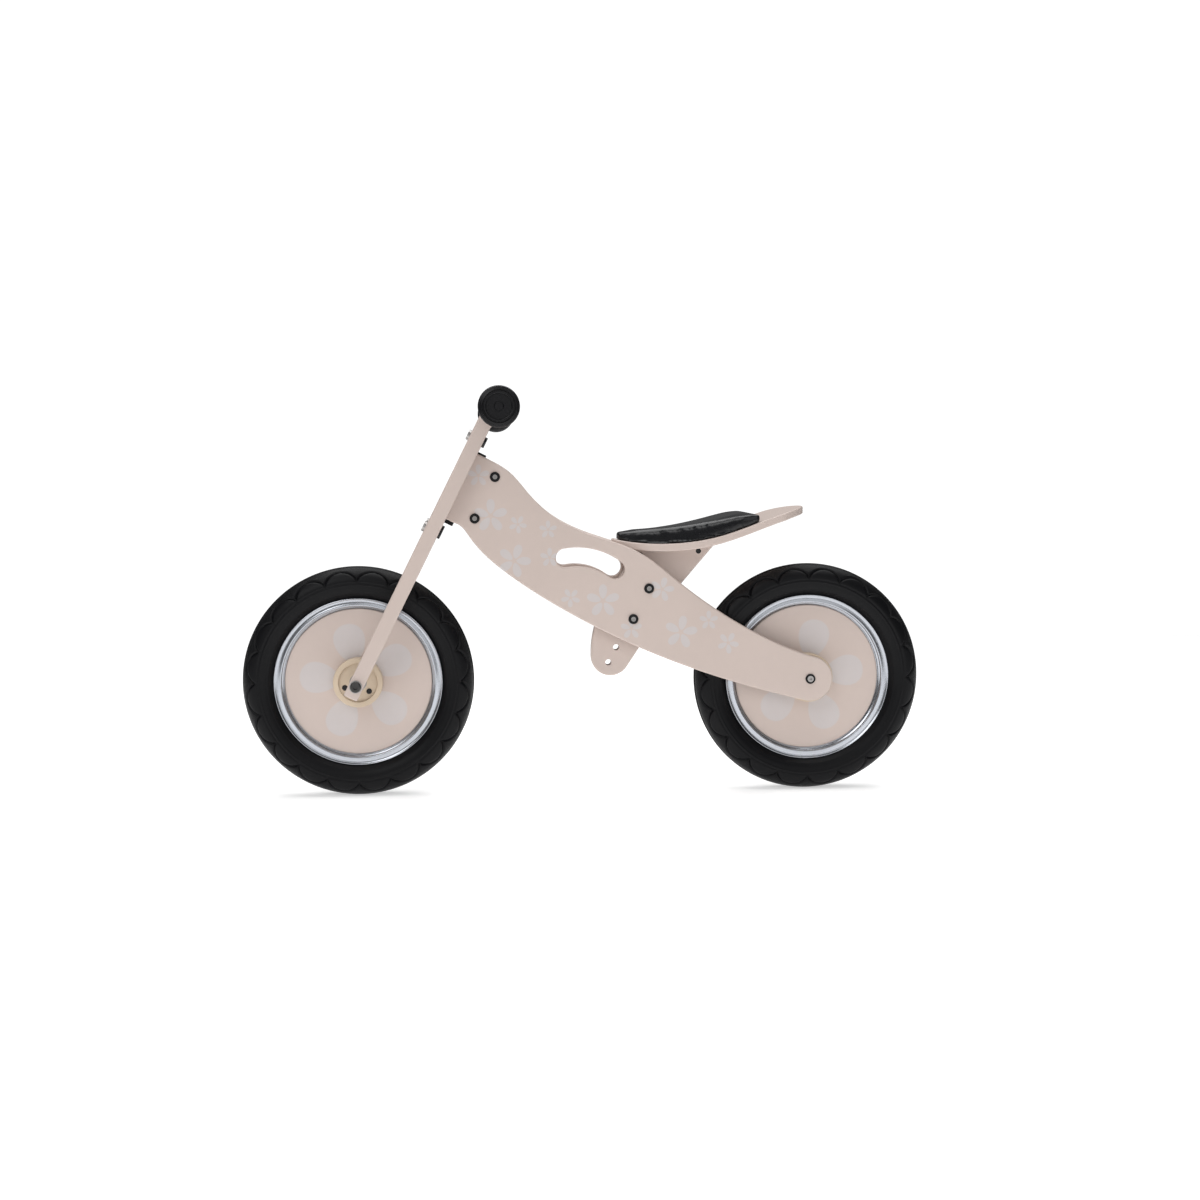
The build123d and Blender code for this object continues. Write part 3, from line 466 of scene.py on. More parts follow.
@dataclass(frozen=True)
class TurnedMetal(Finish):
    """Polished metal with fine turned lines round an axle."""

    axle: Point = (0.0, 0.0, 0.0)
    line_pitch: float = 0.0005
    line_depth: float = 0.000006

    def relief(self, graph: Graph, effects: EffectLibrary, position: Socket) -> object:
        """Height of the turned lines.

        Args:
            graph: Graph of the material.
            effects: Shared shader effects.
            position: Object coordinates.

        Returns:
            Height socket in metres.
        """
        from_axle = graph.vector("SUBTRACT", position, self.axle)
        sizes = {"Pitch": self.line_pitch, "Depth": self.line_depth}
        return graph.place(effects.brushing, Position=from_axle, **sizes)["Height"]


@dataclass(frozen=True)
class TreadRubber(Finish):
    """Tyre rubber with slanted ribs moulded into the tread's shoulders."""

    rib_pitch: float = 0.0023
    rib_depth: float = 0.00035

    def relief(self, graph: Graph, effects: EffectLibrary, position: Socket) -> object:
        """Height of the ribs and of the rubber's grain.

        Args:
            graph: Graph of the material.
            effects: Shared shader effects.
            position: Object coordinates.

        Returns:
            Height socket in metres.
        """
        ribs = graph.place(
            effects.tread_ribs,
            Place=graph.add("ShaderNodeUVMap", uv_map="tread").outputs["UV"],
            Mask=graph.add("ShaderNodeAttribute", attribute_name="ribbed").outputs["Fac"],
            Pitch=self.rib_pitch,
            Depth=self.rib_depth,
        )
        return graph.math("ADD", ribs["Height"], super().relief(graph, effects, position))


# ---- repeated pieces ------------------------------------------------------------------
def build_repeater() -> Tree:
    """Geometry Nodes tree that repeats a piece round an axle or along a line.

    Returns:
        The tree, with Count, Turn, Shift, Centre, Weld and Finish inputs.
    """
    tree = bpy.data.node_groups.new("repeat_piece", "GeometryNodeTree")
    tree.is_modifier = True
    kinds = {
        "Geometry": "NodeSocketGeometry",
        "Count": "NodeSocketInt",
        "Turn": VECTOR,
        "Shift": VECTOR,
        "Centre": VECTOR,
        "Weld": FLOAT,
        "Finish": "NodeSocketMaterial",
    }
    for name, kind in kinds.items():
        tree.interface.new_socket(name, in_out="INPUT", socket_type=kind)
    tree.interface.new_socket("Geometry", in_out="OUTPUT", socket_type="NodeSocketGeometry")
    graph = Graph(tree)
    given = graph.add("NodeGroupInput").outputs
    result = graph.add("NodeGroupOutput").inputs
    index = graph.add("GeometryNodeInputIndex").outputs[0]
    spots = graph.vector("ADD", given["Centre"], graph.scaled(given["Shift"], index))
    points = graph.add("GeometryNodePoints", {"Count": given["Count"], "Position": spots})
    turns = graph.scaled(given["Turn"], index)
    copies = graph.add(
        "GeometryNodeInstanceOnPoints",
        {"Points": points.outputs[0], "Instance": given["Geometry"], "Rotation": turns},
    )
    real = graph.add("GeometryNodeRealizeInstances", {0: copies.outputs[0]})
    weld_inputs = {"Geometry": real.outputs[0], "Distance": given["Weld"]}
    joined = graph.add("GeometryNodeMergeByDistance", weld_inputs)
    dress_inputs = {"Geometry": joined.outputs[0], "Material": given["Finish"]}
    dressed = graph.add("GeometryNodeSetMaterial", dress_inputs)
    graph.feed(result["Geometry"], dressed.outputs[0])
    return tree


@dataclass(frozen=True)
class Repeat:
    """How a piece repeats: how many times, and the turn and shift of each step."""

    count: int
    turn: Point = (0.0, 0.0, 0.0)
    shift: Point = (0.0, 0.0, 0.0)
    centre: Point = (0.0, 0.0, 0.0)
    weld: float = 0.0


def add_object(name: str, data: bpy.types.ID) -> Object:
    """Put a new object into the scene.

    Args:
        name: Name of the object.
        data: Its mesh, light or camera.

    Returns:
        The new object.
    """
    made = bpy.data.objects.new(name, data)
    bpy.context.scene.collection.objects.link(made)
    return made


class Workshop:
    """Makes meshes and holds the materials and the repeater tree."""

    def __init__(self) -> None:
        """Build the shared effects and the repeater."""
        self.effects = EffectLibrary()
        self.repeater = build_repeater()
        self.materials: dict[str, bpy.types.Material] = {}

    def finish(self, finish: Finish) -> bpy.types.Material:
        """Material of a finish, built the first time it is asked for.

        Args:
            finish: The finish.

        Returns:
            Its material.
        """
        if finish.name not in self.materials:
            self.materials[finish.name] = finish.build(self.effects)
        return self.materials[finish.name]

    def piece(
        self,
        name: str,
        points: Sequence[Sequence[float]],
        faces: Sequence[Sequence[int]],
        finish: Finish,
        sharp_angle: float = 35.0,
    ) -> Object:
        """Mesh object with smooth faces and sharp creases.

        Args:
            name: Name of the piece.
            points: Vertices in metres.
            faces: Vertex numbers of each face.
            finish: Its finish.
            sharp_angle: Creases sharper than this many degrees stay hard.

        Returns:
            The new object.
        """
        mesh = bpy.data.meshes.new(name)
        mesh.from_pydata([tuple(point) for point in points], [], [tuple(face) for face in faces])
        mesh.shade_smooth()
        mesh.set_sharp_from_angle(angle=math.radians(sharp_angle))
        mesh.materials.append(self.finish(finish))
        return add_object(name, mesh)

    def lathe(
        self,
        name: str,
        profile: Profile,
        centre: Vector,
        finish: Finish,
        segments: int = 96,
    ) -> Object:
        """Solid of revolution about the Y axis.

        Args:
            name: Name of the piece.
            profile: Closed loop of (radius, y) corners; y is measured from the centre.
            centre: Point on the axis.
            finish: Its finish.
            segments: Faces round the axis.

        Returns:
            The new object.
        """
        points = []
        for k in range(segments):
            angle = math.tau * k / segments
            for radius, y in profile:
                points.append(centre + Vector((radius * math.cos(angle), y, radius * math.sin(angle))))
        size = len(profile)
        faces = []
        for k in range(segments):
            near, far = k * size, (k + 1) % segments * size
            for j in range(size):
                after = (j + 1) % size
                faces.append((near + j, near + after, far + after, far + j))
        made = self.piece(name, points, faces, finish)
        outward(made)
        return made

    def repeat(self, source: Object, name: str, plan: Repeat, finish: Finish) -> Object:
        """Repeat a piece with Geometry Nodes and keep the result as one plain mesh.

        Args:
            source: Piece to repeat, drawn about the origin. It is used up.
            name: Name of the new piece.
            plan: How it repeats.
            finish: Its finish.

        Returns:
            The repeated piece.
        """
        modifier = source.modifiers.new("repeat", "NODES")
        modifier.node_group = self.repeater
        values = {
            "Count": plan.count,
            "Turn": plan.turn,
            "Shift": plan.shift,
            "Centre": plan.centre,
            "Weld": plan.weld,
            "Finish": self.finish(finish),
        }
        for item in self.repeater.interface.items_tree:
            if item.in_out == "INPUT" and item.name in values:
                modifier[item.identifier] = values[item.name]
        graph = bpy.context.evaluated_depsgraph_get()
        mesh = bpy.data.meshes.new_from_object(source.evaluated_get(graph))
        mesh.name = name
        bpy.data.objects.remove(source)
        return add_object(name, mesh)

    def dress(self, finish: Finish, *nodes: str) -> None:
        """Give CAD nodes a finish.

        Args:
            finish: The finish.
            *nodes: Names of the nodes.
        """
        for node in nodes:
            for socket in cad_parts[node].material_slots:
                socket.material = self.finish(finish)
            log.info("dressed %s in %s", node, finish.name)


def outward(piece: Object) -> None:
    """Turn every face of a closed piece outwards.

    Args:
        piece: The piece.
    """
    work = bmesh.new()
    work.from_mesh(piece.data)
    bmesh.ops.recalc_face_normals(work, faces=work.faces)
    work.to_mesh(piece.data)
    work.free()


def settle(piece: Object, body: Body, node: str) -> None:
    """Tie a finished piece to its body in place of a CAD node.

    Args:
        piece: The finished piece.
        body: Body that it rides on.
        node: CAD node that it stands for.
    """
    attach(piece, body.value)
    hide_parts(node)
    log.info("built %s for %s, %d faces", piece.name, node, len(piece.data.polygons))


def middle(node: str) -> Vector:
    """Centre of a CAD node's box."""
    low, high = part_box(node)
    return (Vector(low) + Vector(high)) / 2


# ---- finishes of this bike ------------------------------------------------------------
PAINTED_WOOD = SatinPaint("painted_wood")
VINYL = Finish(
    "black_vinyl", (0.003, 0.0034, 0.0048), 0.25, relief_scale=1500.0, relief_depth=0.000005, shine=0.5
)
BLACK_PLASTIC = Finish("black_plastic", (0.004, 0.004, 0.0045), 0.42, relief_scale=2200.0, shine=0.25)
GRIP_RUBBER = Finish(
    "grip_rubber", (0.003, 0.003, 0.0042), 0.34, relief_scale=1800.0, relief_depth=0.00003, shine=0.3
)
TUBE_RUBBER = Finish("tube_rubber", (0.02, 0.02, 0.02), 0.7)
TYRE_RUBBER = TreadRubber(
    "tyre_rubber", (0.002, 0.0021, 0.003), 0.42, mottle_scale=16.0, relief_scale=1400.0, shine=0.18
)
HUB_PLASTIC = Finish("cream_hub", (0.66, 0.53, 0.39), 0.38, coat=0.2, mottle_amount=0.06)
BLACK_STEEL = Finish("black_steel", (0.014, 0.014, 0.015), 0.36, metallic=0.3, relief_scale=2500.0)
DARK_ZINC = Finish("dark_zinc", (0.07, 0.068, 0.066), 0.35, metallic=1.0, relief_scale=2500.0)
BRIGHT_STEEL = Finish(
    "bright_steel", (0.40, 0.385, 0.375), 0.3, metallic=1.0, relief_scale=2500.0, relief_depth=0.00001
)
GLOSS_BLACK = Finish("gloss_black_bar", (0.018, 0.018, 0.02), 0.28, coat=0.4)

PANEL_FLOWERS = (
    Flower(-0.1355, 0.4114, 0.017),
    Flower(-0.1204, 0.3606, 0.026),
    Flower(-0.0861, 0.3497, 0.014, 60.0),
    Flower(-0.0478, 0.3428, 0.014),
    Flower(-0.0911, 0.3036, 0.026, 70.0),
    Flower(-0.0459, 0.3073, 0.015),
    Flower(-0.0194, 0.2558, 0.015, 50.0),
    Flower(0.0220, 0.2513, 0.026),
    Flower(0.0979, 0.2657, 0.019, 75.0),
    Flower(0.0583, 0.2156, 0.017),
    Flower(0.1222, 0.2103, 0.026, 80.0),
    Flower(0.1582, 0.2253, 0.015),
    Flower(0.1834, 0.1960, 0.017, 60.0),
)


@dataclass
class FramePanels:
    """Side panels, head block, seat post and seat board."""

    shop: Workshop
    paint: PrintedPaint = PrintedPaint("printed_panel", flowers=PANEL_FLOWERS)

    def build(self) -> None:
        """Dress the frame's wooden pieces, bolts and plastic parts."""
        shop = self.shop
        shop.dress(self.paint, "left_side_panel", "right_side_panel")
        shop.dress(PAINTED_WOOD, "head_block", "seat_post", "seat_board")
        shop.dress(PAINTED_WOOD, "left_post_spacer", "right_post_spacer")
        shop.dress(BRIGHT_STEEL, "head_bolts", "seat_post_bolts", "seat_screws")
        shop.dress(BRIGHT_STEEL, "rear_axle", "rear_axle_spacers")
        shop.dress(BLACK_STEEL, "seat_barrel_nuts")
        shop.dress(BLACK_PLASTIC, "head_bolt_caps", "seat_post_bolt_caps", "rear_axle_caps")
        shop.dress(BLACK_PLASTIC, "lower_bearing_plate", "upper_bearing_plate")
        shop.dress(BLACK_PLASTIC, "lower_steering_bush", "upper_steering_bush")


@dataclass
class Fork:
    """Fork legs, crowns, their bolts and the front axle's pieces."""

    shop: Workshop

    def build(self) -> None:
        """Dress the fork's pieces."""
        shop = self.shop
        shop.dress(PAINTED_WOOD, "left_fork_leg", "right_fork_leg", "lower_crown", "upper_crown")
        shop.dress(BRIGHT_STEEL, "crown_bolts", "steering_pin", "steering_pin_nut")
        shop.dress(BRIGHT_STEEL, "handlebar_screws", "front_axle_nut")
        shop.dress(BRIGHT_STEEL, "front_axle_washers", "front_axle_spacers")
        shop.dress(BLACK_STEEL, "crown_nuts")
        shop.dress(DARK_ZINC, "front_axle")
        shop.dress(GLOSS_BLACK, "handlebar")


@dataclass
class Grip:
    """Rubber handlebar grip with ribs and a broad stepped safety end."""

    shop: Workshop
    side: Side
    bore: float = 11.0 * MM
    collar_radius: float = 17.6 * MM
    collar_length: float = 5.0 * MM
    body_radius: float = 13.6 * MM
    knob_radius: float = 25.0 * MM
    knob_length: float = 15.0 * MM
    end_wall: float = 5.0 * MM
    rib_count: int = 12
    rib_height: float = 0.9 * MM
    rib_share: float = 0.6

    def profile(self, length: float) -> list[tuple[float, float]]:
        """Closed outline of the grip from its collar outwards.

        Args:
            length: Length of the grip.

        Returns:
            Corners as (radius, distance from the collar's face).
        """
        knob = length - self.knob_length
        ring = self.knob_radius
        outline = [
            (self.bore, 0.0),
            (self.collar_radius - 0.8 * MM, 0.0),
            (self.collar_radius, 0.8 * MM),
            (self.collar_radius, self.collar_length - 1.2 * MM),
            (self.collar_radius - 1.0 * MM, self.collar_length),
            (self.body_radius, self.collar_length + 2.5 * MM),
            (self.body_radius, knob - 5.0 * MM),
            (self.body_radius + 2.0 * MM, knob - 2.0 * MM),
            (ring - 4.5 * MM, knob + 1.0 * MM),
            (ring - 1.2 * MM, knob + 3.0 * MM),
            (ring, knob + 5.5 * MM),
        ]
        steps = [
            (0.0, 5.5), (1.0, 4.0), (2.8, 3.4), (3.2, 1.8), (5.2, 1.2), (5.6, 2.4),
            (6.4, 2.4), (6.8, 0.3), (8.2, 0.0), (9.4, 0.5), (10.0, 2.0),
        ]
        outline += [(ring - inset * MM, length - back * MM) for inset, back in steps]
        button = [(6.0 * MM, 2.0), (5.0 * MM, 0.9), (AXIS_GAP, 0.9)]
        outline += [(radius, length - back * MM) for radius, back in button]
        outline += [(AXIS_GAP, length - self.end_wall), (self.bore, length - self.end_wall)]
        return outline

    def build(self) -> None:
        """Make the grip and its ribs."""
        node = f"{self.side.name.lower()}_grip"
        low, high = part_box(node)
        centre = middle(node)
        start = high[1] if self.side is Side.LEFT else low[1]
        length = high[1] - low[1]
        base = Vector((centre.x, start, centre.z))
        outline = [(radius, self.side.value * along) for radius, along in self.profile(length)]
        grip = self.shop.lathe(f"{node}_rubber", outline, base, GRIP_RUBBER, segments=80)
        ribs = self.ribs(node, base, length)
        settle(grip, Body.FORK, node)
        settle(ribs, Body.FORK, node)

    def ribs(self, node: str, base: Vector, length: float) -> Object:
        """Raised rings along the grip's body.

        Args:
            node: Name of the grip's CAD node.
            base: Centre of the collar's face.
            length: Length of the grip.

        Returns:
            The rings as one piece.
        """
        first = self.collar_length + 6.0 * MM
        last = length - self.knob_length - 8.0 * MM
        pitch = (last - first) / (self.rib_count - 1)
        half = pitch * self.rib_share / 2
        arch = [(-1.0, -1.0), (0.0, -1.0), (0.7, -0.6), (1.0, 0.0), (0.7, 0.6), (0.0, 1.0), (-1.0, 1.0)]
        hill = [(self.body_radius + rise * self.rib_height, along * half) for rise, along in arch]
        ring = self.shop.lathe("grip_rib", hill, Vector(), GRIP_RUBBER, segments=64)
        centre = (base.x, base.y + self.side.value * first, base.z)
        plan = Repeat(self.rib_count, shift=(0.0, self.side.value * pitch, 0.0), centre=centre)
        return self.shop.repeat(ring, f"{node}_ribs", plan, GRIP_RUBBER)


@dataclass
class Wheel:
    """A tyre, rim, printed disc, hub and screws on one axle."""

    shop: Workshop
    body: Body
    prefix: str
    petal_turn: float
    tyre_radius: float = 148.0 * MM
    section_radius: float = 22.0 * MM
    tyre_wall: float = 3.5 * MM
    bead_angle: float = 140.0
    scallops: int = 20
    steps_per_scallop: int = 34
    crest_angle: float = 42.0
    cusp_angle: float = 80.0
    groove_depth: float = 2.2 * MM
    groove_half_width: float = 1.7 * MM
    centre_groove_angle: float = 13.0
    shoulder_span: float = 7.0
    shoulder_depth: float = 0.9 * MM
    side_ribs: tuple[Point, ...] = ((92.0, 4.0, 0.8 * MM), (124.0, 4.0, 0.6 * MM))
    crown_steps: int = 52
    inner_steps: int = 12
    inner_angle: float = 130.0
    flower_size: float = 0.077
    screw_circle: float = 18.0 * MM
    screw_phase: float = 81.0
    screw_count: int = 3

    def build(self) -> None:
        """Make the wheel's tyre, rim and screws and dress the rest."""
        axle = middle(f"{self.prefix}_tyre")
        self.build_tyre(axle)
        self.build_rim(axle)
        self.build_screws(axle)
        flower = Flower(axle.x, axle.z, self.flower_size, self.petal_turn)
        disc = PrintedPaint(
            f"{self.prefix}_disc_paint",
            flowers=(flower,),
            petal_reach=0.655,
            petal_length=0.33,
            petal_width=0.26,
        )
        self.shop.dress(disc, f"{self.prefix}_wheel_disc")
        self.shop.dress(HUB_PLASTIC, f"{self.prefix}_hub_left", f"{self.prefix}_hub_right")
        self.shop.dress(TUBE_RUBBER, f"{self.prefix}_inner_tube")
        self.shop.dress(BRIGHT_STEEL, f"{self.prefix}_bearings")

    def groove_path(self, step: float) -> float:
        """Angle of the scalloped groove round the tyre's section.

        Args:
            step: Place along one scallop, 0 to 1.

        Returns:
            Angle from the crown in degrees.
        """
        roundness = 0.7
        bulge = math.sin(math.pi * (step % 1.0)) ** roundness
        return self.cusp_angle - (self.cusp_angle - self.crest_angle) * bulge

    def surface_drop(self, step: float, angle: float) -> float:
        """How far the moulded surface lies below the tyre's round section.

        Args:
            step: Place along one scallop, 0 to 1.
            angle: Angle from the crown in degrees, positive.

        Returns:
            Depth in metres.
        """
        metre_per_degree = math.radians(self.section_radius)
        path = self.groove_path(step)
        scallop_length = math.tau * self.tyre_radius / self.scallops
        nudge = 0.01
        shoulder_scale = 0.92
        rise = (self.groove_path(step + nudge) - self.groove_path(step - nudge)) * metre_per_degree
        slope = rise / (2 * nudge * scallop_length * shoulder_scale)
        distance = abs(angle - path) * metre_per_degree / math.hypot(1.0, slope)
        drop = self.groove_depth * smooth(1.0 - distance / self.groove_half_width)
        centre_groove = abs(angle - self.centre_groove_angle) * metre_per_degree
        drop = max(drop, self.groove_depth * smooth(1.0 - centre_groove / self.groove_half_width))
        shoulder = smooth((angle - self.cusp_angle) / self.shoulder_span)
        drop = drop * (1.0 - shoulder) + self.shoulder_depth * shoulder
        for place, half_width, height in self.side_ribs:
            drop -= height * smooth(1.0 - abs(angle - place) / half_width)
        return drop

    def section(self, step: float) -> list[tuple[float, float, float, float]]:
        """Closed section of the tyre at one place along a scallop.

        Args:
            step: Place along one scallop, 0 to 1.

        Returns:
            Points as (radius, y, distance from the crown, ribbed mask).
        """
        centre = self.tyre_radius - self.section_radius
        band_start, groove_margin = 20.0, 6.0
        fade_in, fade_out = 3.0, 4.0
        loop = []
        for k in range(-self.crown_steps, self.crown_steps + 1):
            angle = self.bead_angle * k / self.crown_steps
            reach = self.section_radius - self.surface_drop(step, abs(angle))
            turn = math.radians(angle)
            mask = smooth((abs(angle) - band_start) / fade_in)
            mask *= smooth((self.groove_path(step) - groove_margin - abs(angle)) / fade_out)
            across = self.section_radius * turn
            loop.append((centre + reach * math.cos(turn), reach * math.sin(turn), across, mask))
        bead = [(107.8, 11.8), (99.7, 11.8), (99.7, 9.0), (110.0, 9.0)]
        loop += [(radius * MM, y * MM, 0.0, 0.0) for radius, y in bead]
        inner = self.section_radius - self.tyre_wall
        for k in range(self.inner_steps, -self.inner_steps - 1, -1):
            turn = math.radians(self.inner_angle * k / self.inner_steps)
            loop.append((centre + inner * math.cos(turn), inner * math.sin(turn), 0.0, 0.0))
        loop += [(radius * MM, -y * MM, 0.0, 0.0) for radius, y in reversed(bead)]
        return loop

    def build_tyre(self, axle: Vector) -> None:
        """Make one scallop of the tyre and repeat it round the axle.

        Args:
            axle: Centre of the wheel.
        """
        pitch = math.tau / self.scallops
        steps = self.steps_per_scallop
        points, places, masks = [], [], []
        for k in range(steps + 1):
            turn = pitch * k / steps
            for radius, y, across, mask in self.section(k / steps):
                points.append((radius * math.cos(turn), y, radius * math.sin(turn)))
                places.append((turn * self.tyre_radius, across))
                masks.append(mask)
        size = len(points) // (steps + 1)
        faces = []
        for k in range(steps):
            for j in range(size):
                after = (j + 1) % size
                near, far = k * size, (k + 1) * size
                faces.append((near + j, far + j, far + after, near + after))
        scallop = self.shop.piece("tyre_scallop", points, faces, TYRE_RUBBER, sharp_angle=60.0)
        mesh = scallop.data
        layer = mesh.uv_layers.new(name="tread")
        for loop in mesh.loops:
            layer.uv[loop.index].vector = places[loop.vertex_index]
        ribbed = mesh.attributes.new("ribbed", "FLOAT", "POINT")
        ribbed.data.foreach_set("value", masks)
        plan = Repeat(self.scallops, turn=(0.0, pitch, 0.0), centre=tuple(axle), weld=0.04 * MM)
        tyre = self.shop.repeat(scallop, f"{self.prefix}_tyre_rubber", plan, TYRE_RUBBER)
        outward(tyre)
        settle(tyre, self.body, f"{self.prefix}_tyre")

    def build_rim(self, axle: Vector) -> None:
        """Make the polished rim.

        Args:
            axle: Centre of the wheel.
        """
        lip = (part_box(f"{self.prefix}_rim")[1][0] - axle.x) / MM
        half = [
            (13.45, 0.0), (13.45, 5.0), (12.2, 5.4), (12.1, 8.2), (11.6, 8.7), (10.5, 9.1), (9.9, 9.6),
            (9.75, 12.2), (9.5, 13.2), (8.8, 13.6), (7.7, 13.5), (6.5, 13.0), (4.9, 12.75), (3.3, 12.8),
            (2.1, 13.2), (1.4, 13.8), (0.8, 14.15), (0.3, 14.0), (0.05, 13.4), (0.2, 12.6),
            (0.9, 12.05), (7.8, 12.0), (8.05, 9.2), (8.6, 8.3), (11.1, 7.3), (11.6, 4.6), (11.65, 0.0),
        ]
        profile = [((lip - inset) * MM, y * MM) for inset, y in half]
        profile += [(radius, -y) for radius, y in reversed(profile[1:-1])]
        polish = TurnedMetal(
            f"{self.prefix}_rim_polish",
            (0.46, 0.48, 0.52),
            0.2,
            metallic=1.0,
            mottle_amount=0.05,
            axle=tuple(axle),
        )
        rim = self.shop.lathe(f"{self.prefix}_rim_alloy", profile, axle, polish, segments=180)
        settle(rim, self.body, f"{self.prefix}_rim")

    def build_screws(self, axle: Vector) -> None:
        """Make the pan-head screws of both hub halves.

        Args:
            axle: Centre of the wheel.
        """
        face = 20.0
        node = f"{self.prefix}_hub_screws"
        phase = math.radians(self.screw_phase)
        spot = Vector((self.screw_circle * math.cos(phase), 0.0, self.screw_circle * math.sin(phase)))
        for side in Side:
            profile = [
                (0.02, 2.0), (1.6, 2.0), (1.75, 3.0), (1.75, face), (3.6, face), (3.6, face + 0.6),
                (3.2, face + 1.2), (2.4, face + 1.6), (1.9, face + 1.6), (1.7, face + 0.5),
                (0.02, face + 0.5),
            ]
            sided = [(radius * MM, side.value * y * MM) for radius, y in profile]
            screw = self.shop.lathe("hub_screw", sided, spot, BLACK_STEEL, segments=24)
            turn = (0.0, math.tau / self.screw_count, 0.0)
            plan = Repeat(self.screw_count, turn=turn, centre=tuple(axle))
            name = f"{self.prefix}_{side.name.lower()}_hub_screws"
            settle(self.shop.repeat(screw, name, plan, BLACK_STEEL), self.body, node)


def smooth(value: float) -> float:
    """Smooth step that is 0 for values below 0 and 1 for values above 1."""
    held = min(max(value, 0.0), 1.0)
    return held * held * (3.0 - 2.0 * held)


@dataclass
class Cushion:
    """Padded vinyl cushion, blown up a little by a cloth simulation."""

    shop: Workshop
    voxel: float = 3.0 * MM
    shrink: float = 1.0 * MM
    pressure: float = 2.5
    frames: int = 20
    cap: float = 2.5 * MM
    cloth_quality: int = 6
    relax_rounds: int = 9
    calm_rounds: int = 14
    flat_normal: float = -0.55
    side_normal: float = -0.05

    def build(self) -> None:
        """Make the cushion and put it in place of the plain solid."""
        cushion = self.remeshed_copy()
        rest = [vertex.co.copy() for vertex in cushion.data.vertices]
        free = self.freedom(cushion)
        self.blow_up(cushion)
        self.limit(cushion, rest, free)
        rounding = cushion.modifiers.new("rounding", "SUBSURF")
        rounding.levels = 1
        rounding.render_levels = 1
        cushion.data.shade_smooth()
        settle(cushion, Body.FRAME, "seat_cushion")

    def remeshed_copy(self) -> Object:
        """Evenly meshed copy of the CAD solid, a little smaller.

        Returns:
            The copy.
        """
        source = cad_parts["seat_cushion"]
        copy = add_object("seat_cushion_vinyl", source.data.copy())
        weld(copy)
        remesh = copy.modifiers.new("even", "REMESH")
        remesh.mode = "VOXEL"
        remesh.voxel_size = self.voxel
        relax = copy.modifiers.new("relax", "SMOOTH")
        relax.factor = 0.5
        relax.iterations = self.relax_rounds
        self.apply(copy)
        for vertex in copy.data.vertices:
            if vertex.normal.z > self.flat_normal:
                vertex.co -= vertex.normal * self.shrink
        copy.data.materials.clear()
        copy.data.materials.append(self.shop.finish(VINYL))
        return copy

    def apply(self, piece: Object) -> None:
        """Bake every modifier of a piece into its mesh.

        Args:
            piece: The piece.
        """
        graph = bpy.context.evaluated_depsgraph_get()
        mesh = bpy.data.meshes.new_from_object(piece.evaluated_get(graph))
        piece.modifiers.clear()
        piece.data = mesh

    def freedom(self, cushion: Object) -> list[float]:
        """Share from 0 to 1 of the swelling at each vertex: none where the pad lies on its board."""
        span = self.side_normal - self.flat_normal
        return [smooth((vertex.normal.z - self.flat_normal) / span) for vertex in cushion.data.vertices]

    def blow_up(self, cushion: Object) -> None:
        """Run the cloth simulation and keep its last frame.

        Args:
            cushion: The cushion.
        """
        cloth = cushion.modifiers.new("swell", "CLOTH")
        cloth.settings.use_pressure = True
        cloth.settings.uniform_pressure_force = self.pressure
        cloth.settings.effector_weights.gravity = 0.0
        cloth.settings.quality = self.cloth_quality
        cloth.point_cache.frame_start = 1
        cloth.point_cache.frame_end = self.frames
        for number in range(1, self.frames + 1):
            bpy.context.scene.frame_set(number)
        self.apply(cushion)
        bpy.context.scene.frame_set(1)

    def limit(self, cushion: Object, rest: Sequence[Vector], free: Sequence[float]) -> None:
        """Hold every vertex near its rest place.

        Args:
            cushion: The cushion.
            rest: Rest places.
            free: Share of the cap that each vertex may use.
        """
        vertices = cushion.data.vertices
        moves = self.calmed(cushion, [vertex.co - start for vertex, start in zip(vertices, rest)])
        for vertex, start, move, share in zip(vertices, rest, moves, free):
            reach = self.cap * share
            if move.length > reach:
                move = move.normalized() * reach
            vertex.co = start + move

    def calmed(self, cushion: Object, moves: Sequence[Vector]) -> Sequence[Vector]:
        """Even out the swelling so that the vinyl lies in one smooth dome.

        Args:
            cushion: The cushion.
            moves: How far each vertex moved.

        Returns:
            The moves, each blended with its neighbours' several times.
        """
        neighbours: list[list[int]] = [[] for _ in moves]
        for edge in cushion.data.edges:
            first, second = edge.vertices
            neighbours[first].append(second)
            neighbours[second].append(first)
        for _ in range(self.calm_rounds):
            sums = [sum((moves[other] for other in near), Vector()) for near in neighbours]
            groups = zip(moves, sums, neighbours)
            moves = [(move + total) / (len(near) + 1) for move, total, near in groups]
        return moves


def weld(piece: Object) -> None:
    """Merge the loose triangles of a copied CAD mesh.

    Args:
        piece: The copy.
    """
    work = bmesh.new()
    work.from_mesh(piece.data)
    bmesh.ops.remove_doubles(work, verts=work.verts, dist=0.01 * MM)
    work.to_mesh(piece.data)
    work.free()


@dataclass(frozen=True)
class Lamp:
    """One soft square light: name, place, side in metres and power in watts."""

    name: str
    place: Point
    size: float
    power: float


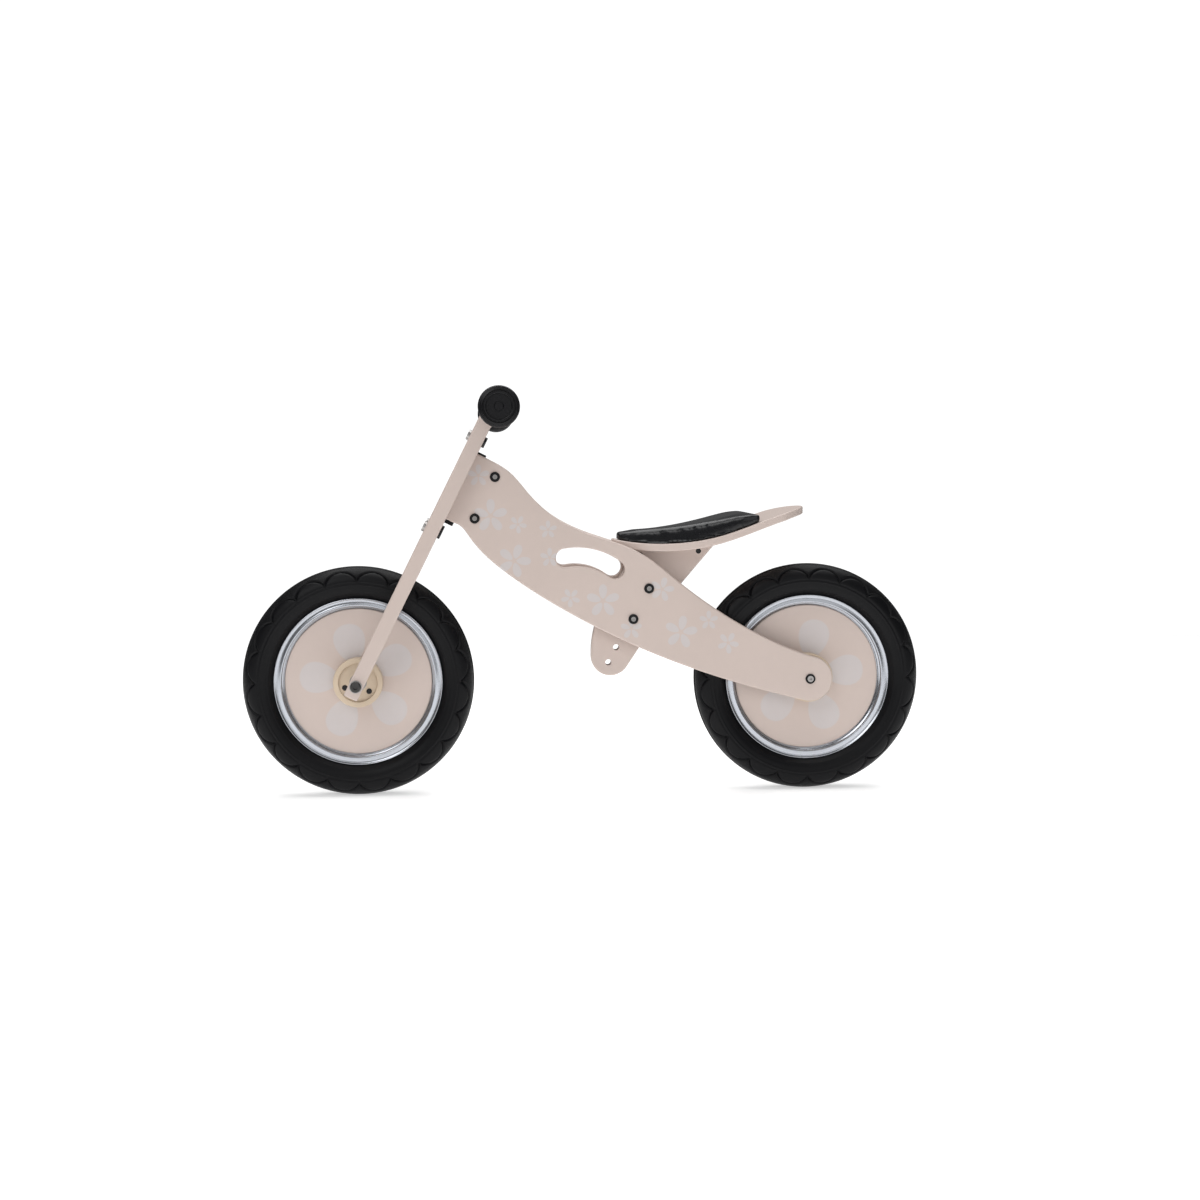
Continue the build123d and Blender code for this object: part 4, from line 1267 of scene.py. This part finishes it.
@dataclass
class Studio:
    """Pale floor, soft lights and the camera."""

    lamps: tuple[Lamp, ...] = (
        Lamp("key", (-1.6, -2.6, 2.2), 1.8, 26.0),
        Lamp("front", (0.9, -4.2, 1.6), 3.0, 22.0),
        Lamp("top", (0.1, 0.3, 2.4), 3.0, 70.0),
    )
    floor_size: float = 3.6
    floor_glow: float = 0.5
    floor_gap: float = 0.2 * MM
    eye: Point = (-0.136, -2.136, 0.432)
    aim: Point = (0.0206, 0.0, 0.2497)
    roll: float = -0.11
    lens: float = 49.68
    sensor_width: float = 36.0
    backdrop: float = 1.1
    ambient: float = 0.14

    def build(self, shop: Workshop) -> None:
        """Place the floor, the lights and the camera.

        Args:
            shop: Workshop that makes the floor.
        """
        self.build_floor(shop)
        for lamp in self.lamps:
            self.add_light(lamp)
        self.build_backdrop()
        self.build_camera()

    def build_backdrop(self) -> None:
        """Surround the bike with white that lights it only a little."""
        world = bpy.data.worlds.new("studio")
        world.use_nodes = True
        graph = Graph(world.node_tree)
        background = world.node_tree.nodes["Background"]
        background.inputs["Color"].default_value = WHITE
        seen = graph.add("ShaderNodeLightPath").outputs["Is Camera Ray"]
        extra = graph.math("MULTIPLY", seen, self.backdrop - self.ambient)
        graph.feed(background.inputs["Strength"], graph.math("ADD", extra, self.ambient))
        bpy.context.scene.world = world
        bpy.context.scene.view_settings.view_transform = "Standard"

    def build_floor(self, shop: Workshop) -> None:
        """Lay the floor under the wheels.

        Args:
            shop: Workshop that makes the floor.
        """
        half = self.floor_size / 2
        ground = CAD_BOX[0][2] - self.floor_gap
        signs = ((-1, -1), (1, -1), (1, 1), (-1, 1))
        corners = [(half * x, half * y, ground) for x, y in signs]
        grey = (0.9, 0.9, 0.9)
        pale = Finish("pale_floor", grey, 0.8, mottle_amount=0.01, shine=0.1, glow=self.floor_glow)
        shop.piece("floor", corners, [(0, 1, 2, 3)], pale)

    def add_light(self, lamp: Lamp) -> None:
        """Add a large soft light aimed at the bike.

        Args:
            lamp: Its name, place, size and power.
        """
        data = bpy.data.lights.new(lamp.name, "AREA")
        data.size = lamp.size
        data.energy = lamp.power
        light = add_object(lamp.name, data)
        light.location = lamp.place
        light.rotation_euler = (Vector(self.aim) - Vector(lamp.place)).to_track_quat("-Z", "Y").to_euler()

    def build_camera(self) -> None:
        """Place the camera."""
        data = bpy.data.cameras.new("camera")
        data.lens = self.lens
        data.sensor_width = self.sensor_width
        camera = add_object("camera", data)
        toward = Vector(self.aim) - Vector(self.eye)
        level = toward.to_track_quat("-Z", "Y").to_matrix()
        camera.location = self.eye
        camera.rotation_euler = (level @ Matrix.Rotation(math.radians(self.roll), 3, "Z")).to_euler()
        bpy.context.scene.camera = camera


def main() -> None:
    """Build every piece of the bike and its studio."""
    logging.basicConfig(level=logging.INFO, format="%(name)s: %(message)s")
    shop = Workshop()
    FramePanels(shop).build()
    Fork(shop).build()
    for side in Side:
        Grip(shop, side).build()
    Wheel(shop, Body.FRONT_WHEEL, "front", 30.0).build()
    Wheel(shop, Body.REAR_WHEEL, "rear", 8.0).build()
    Cushion(shop).build()
    Studio().build(shop)


if __name__ == "__main__":
    main()
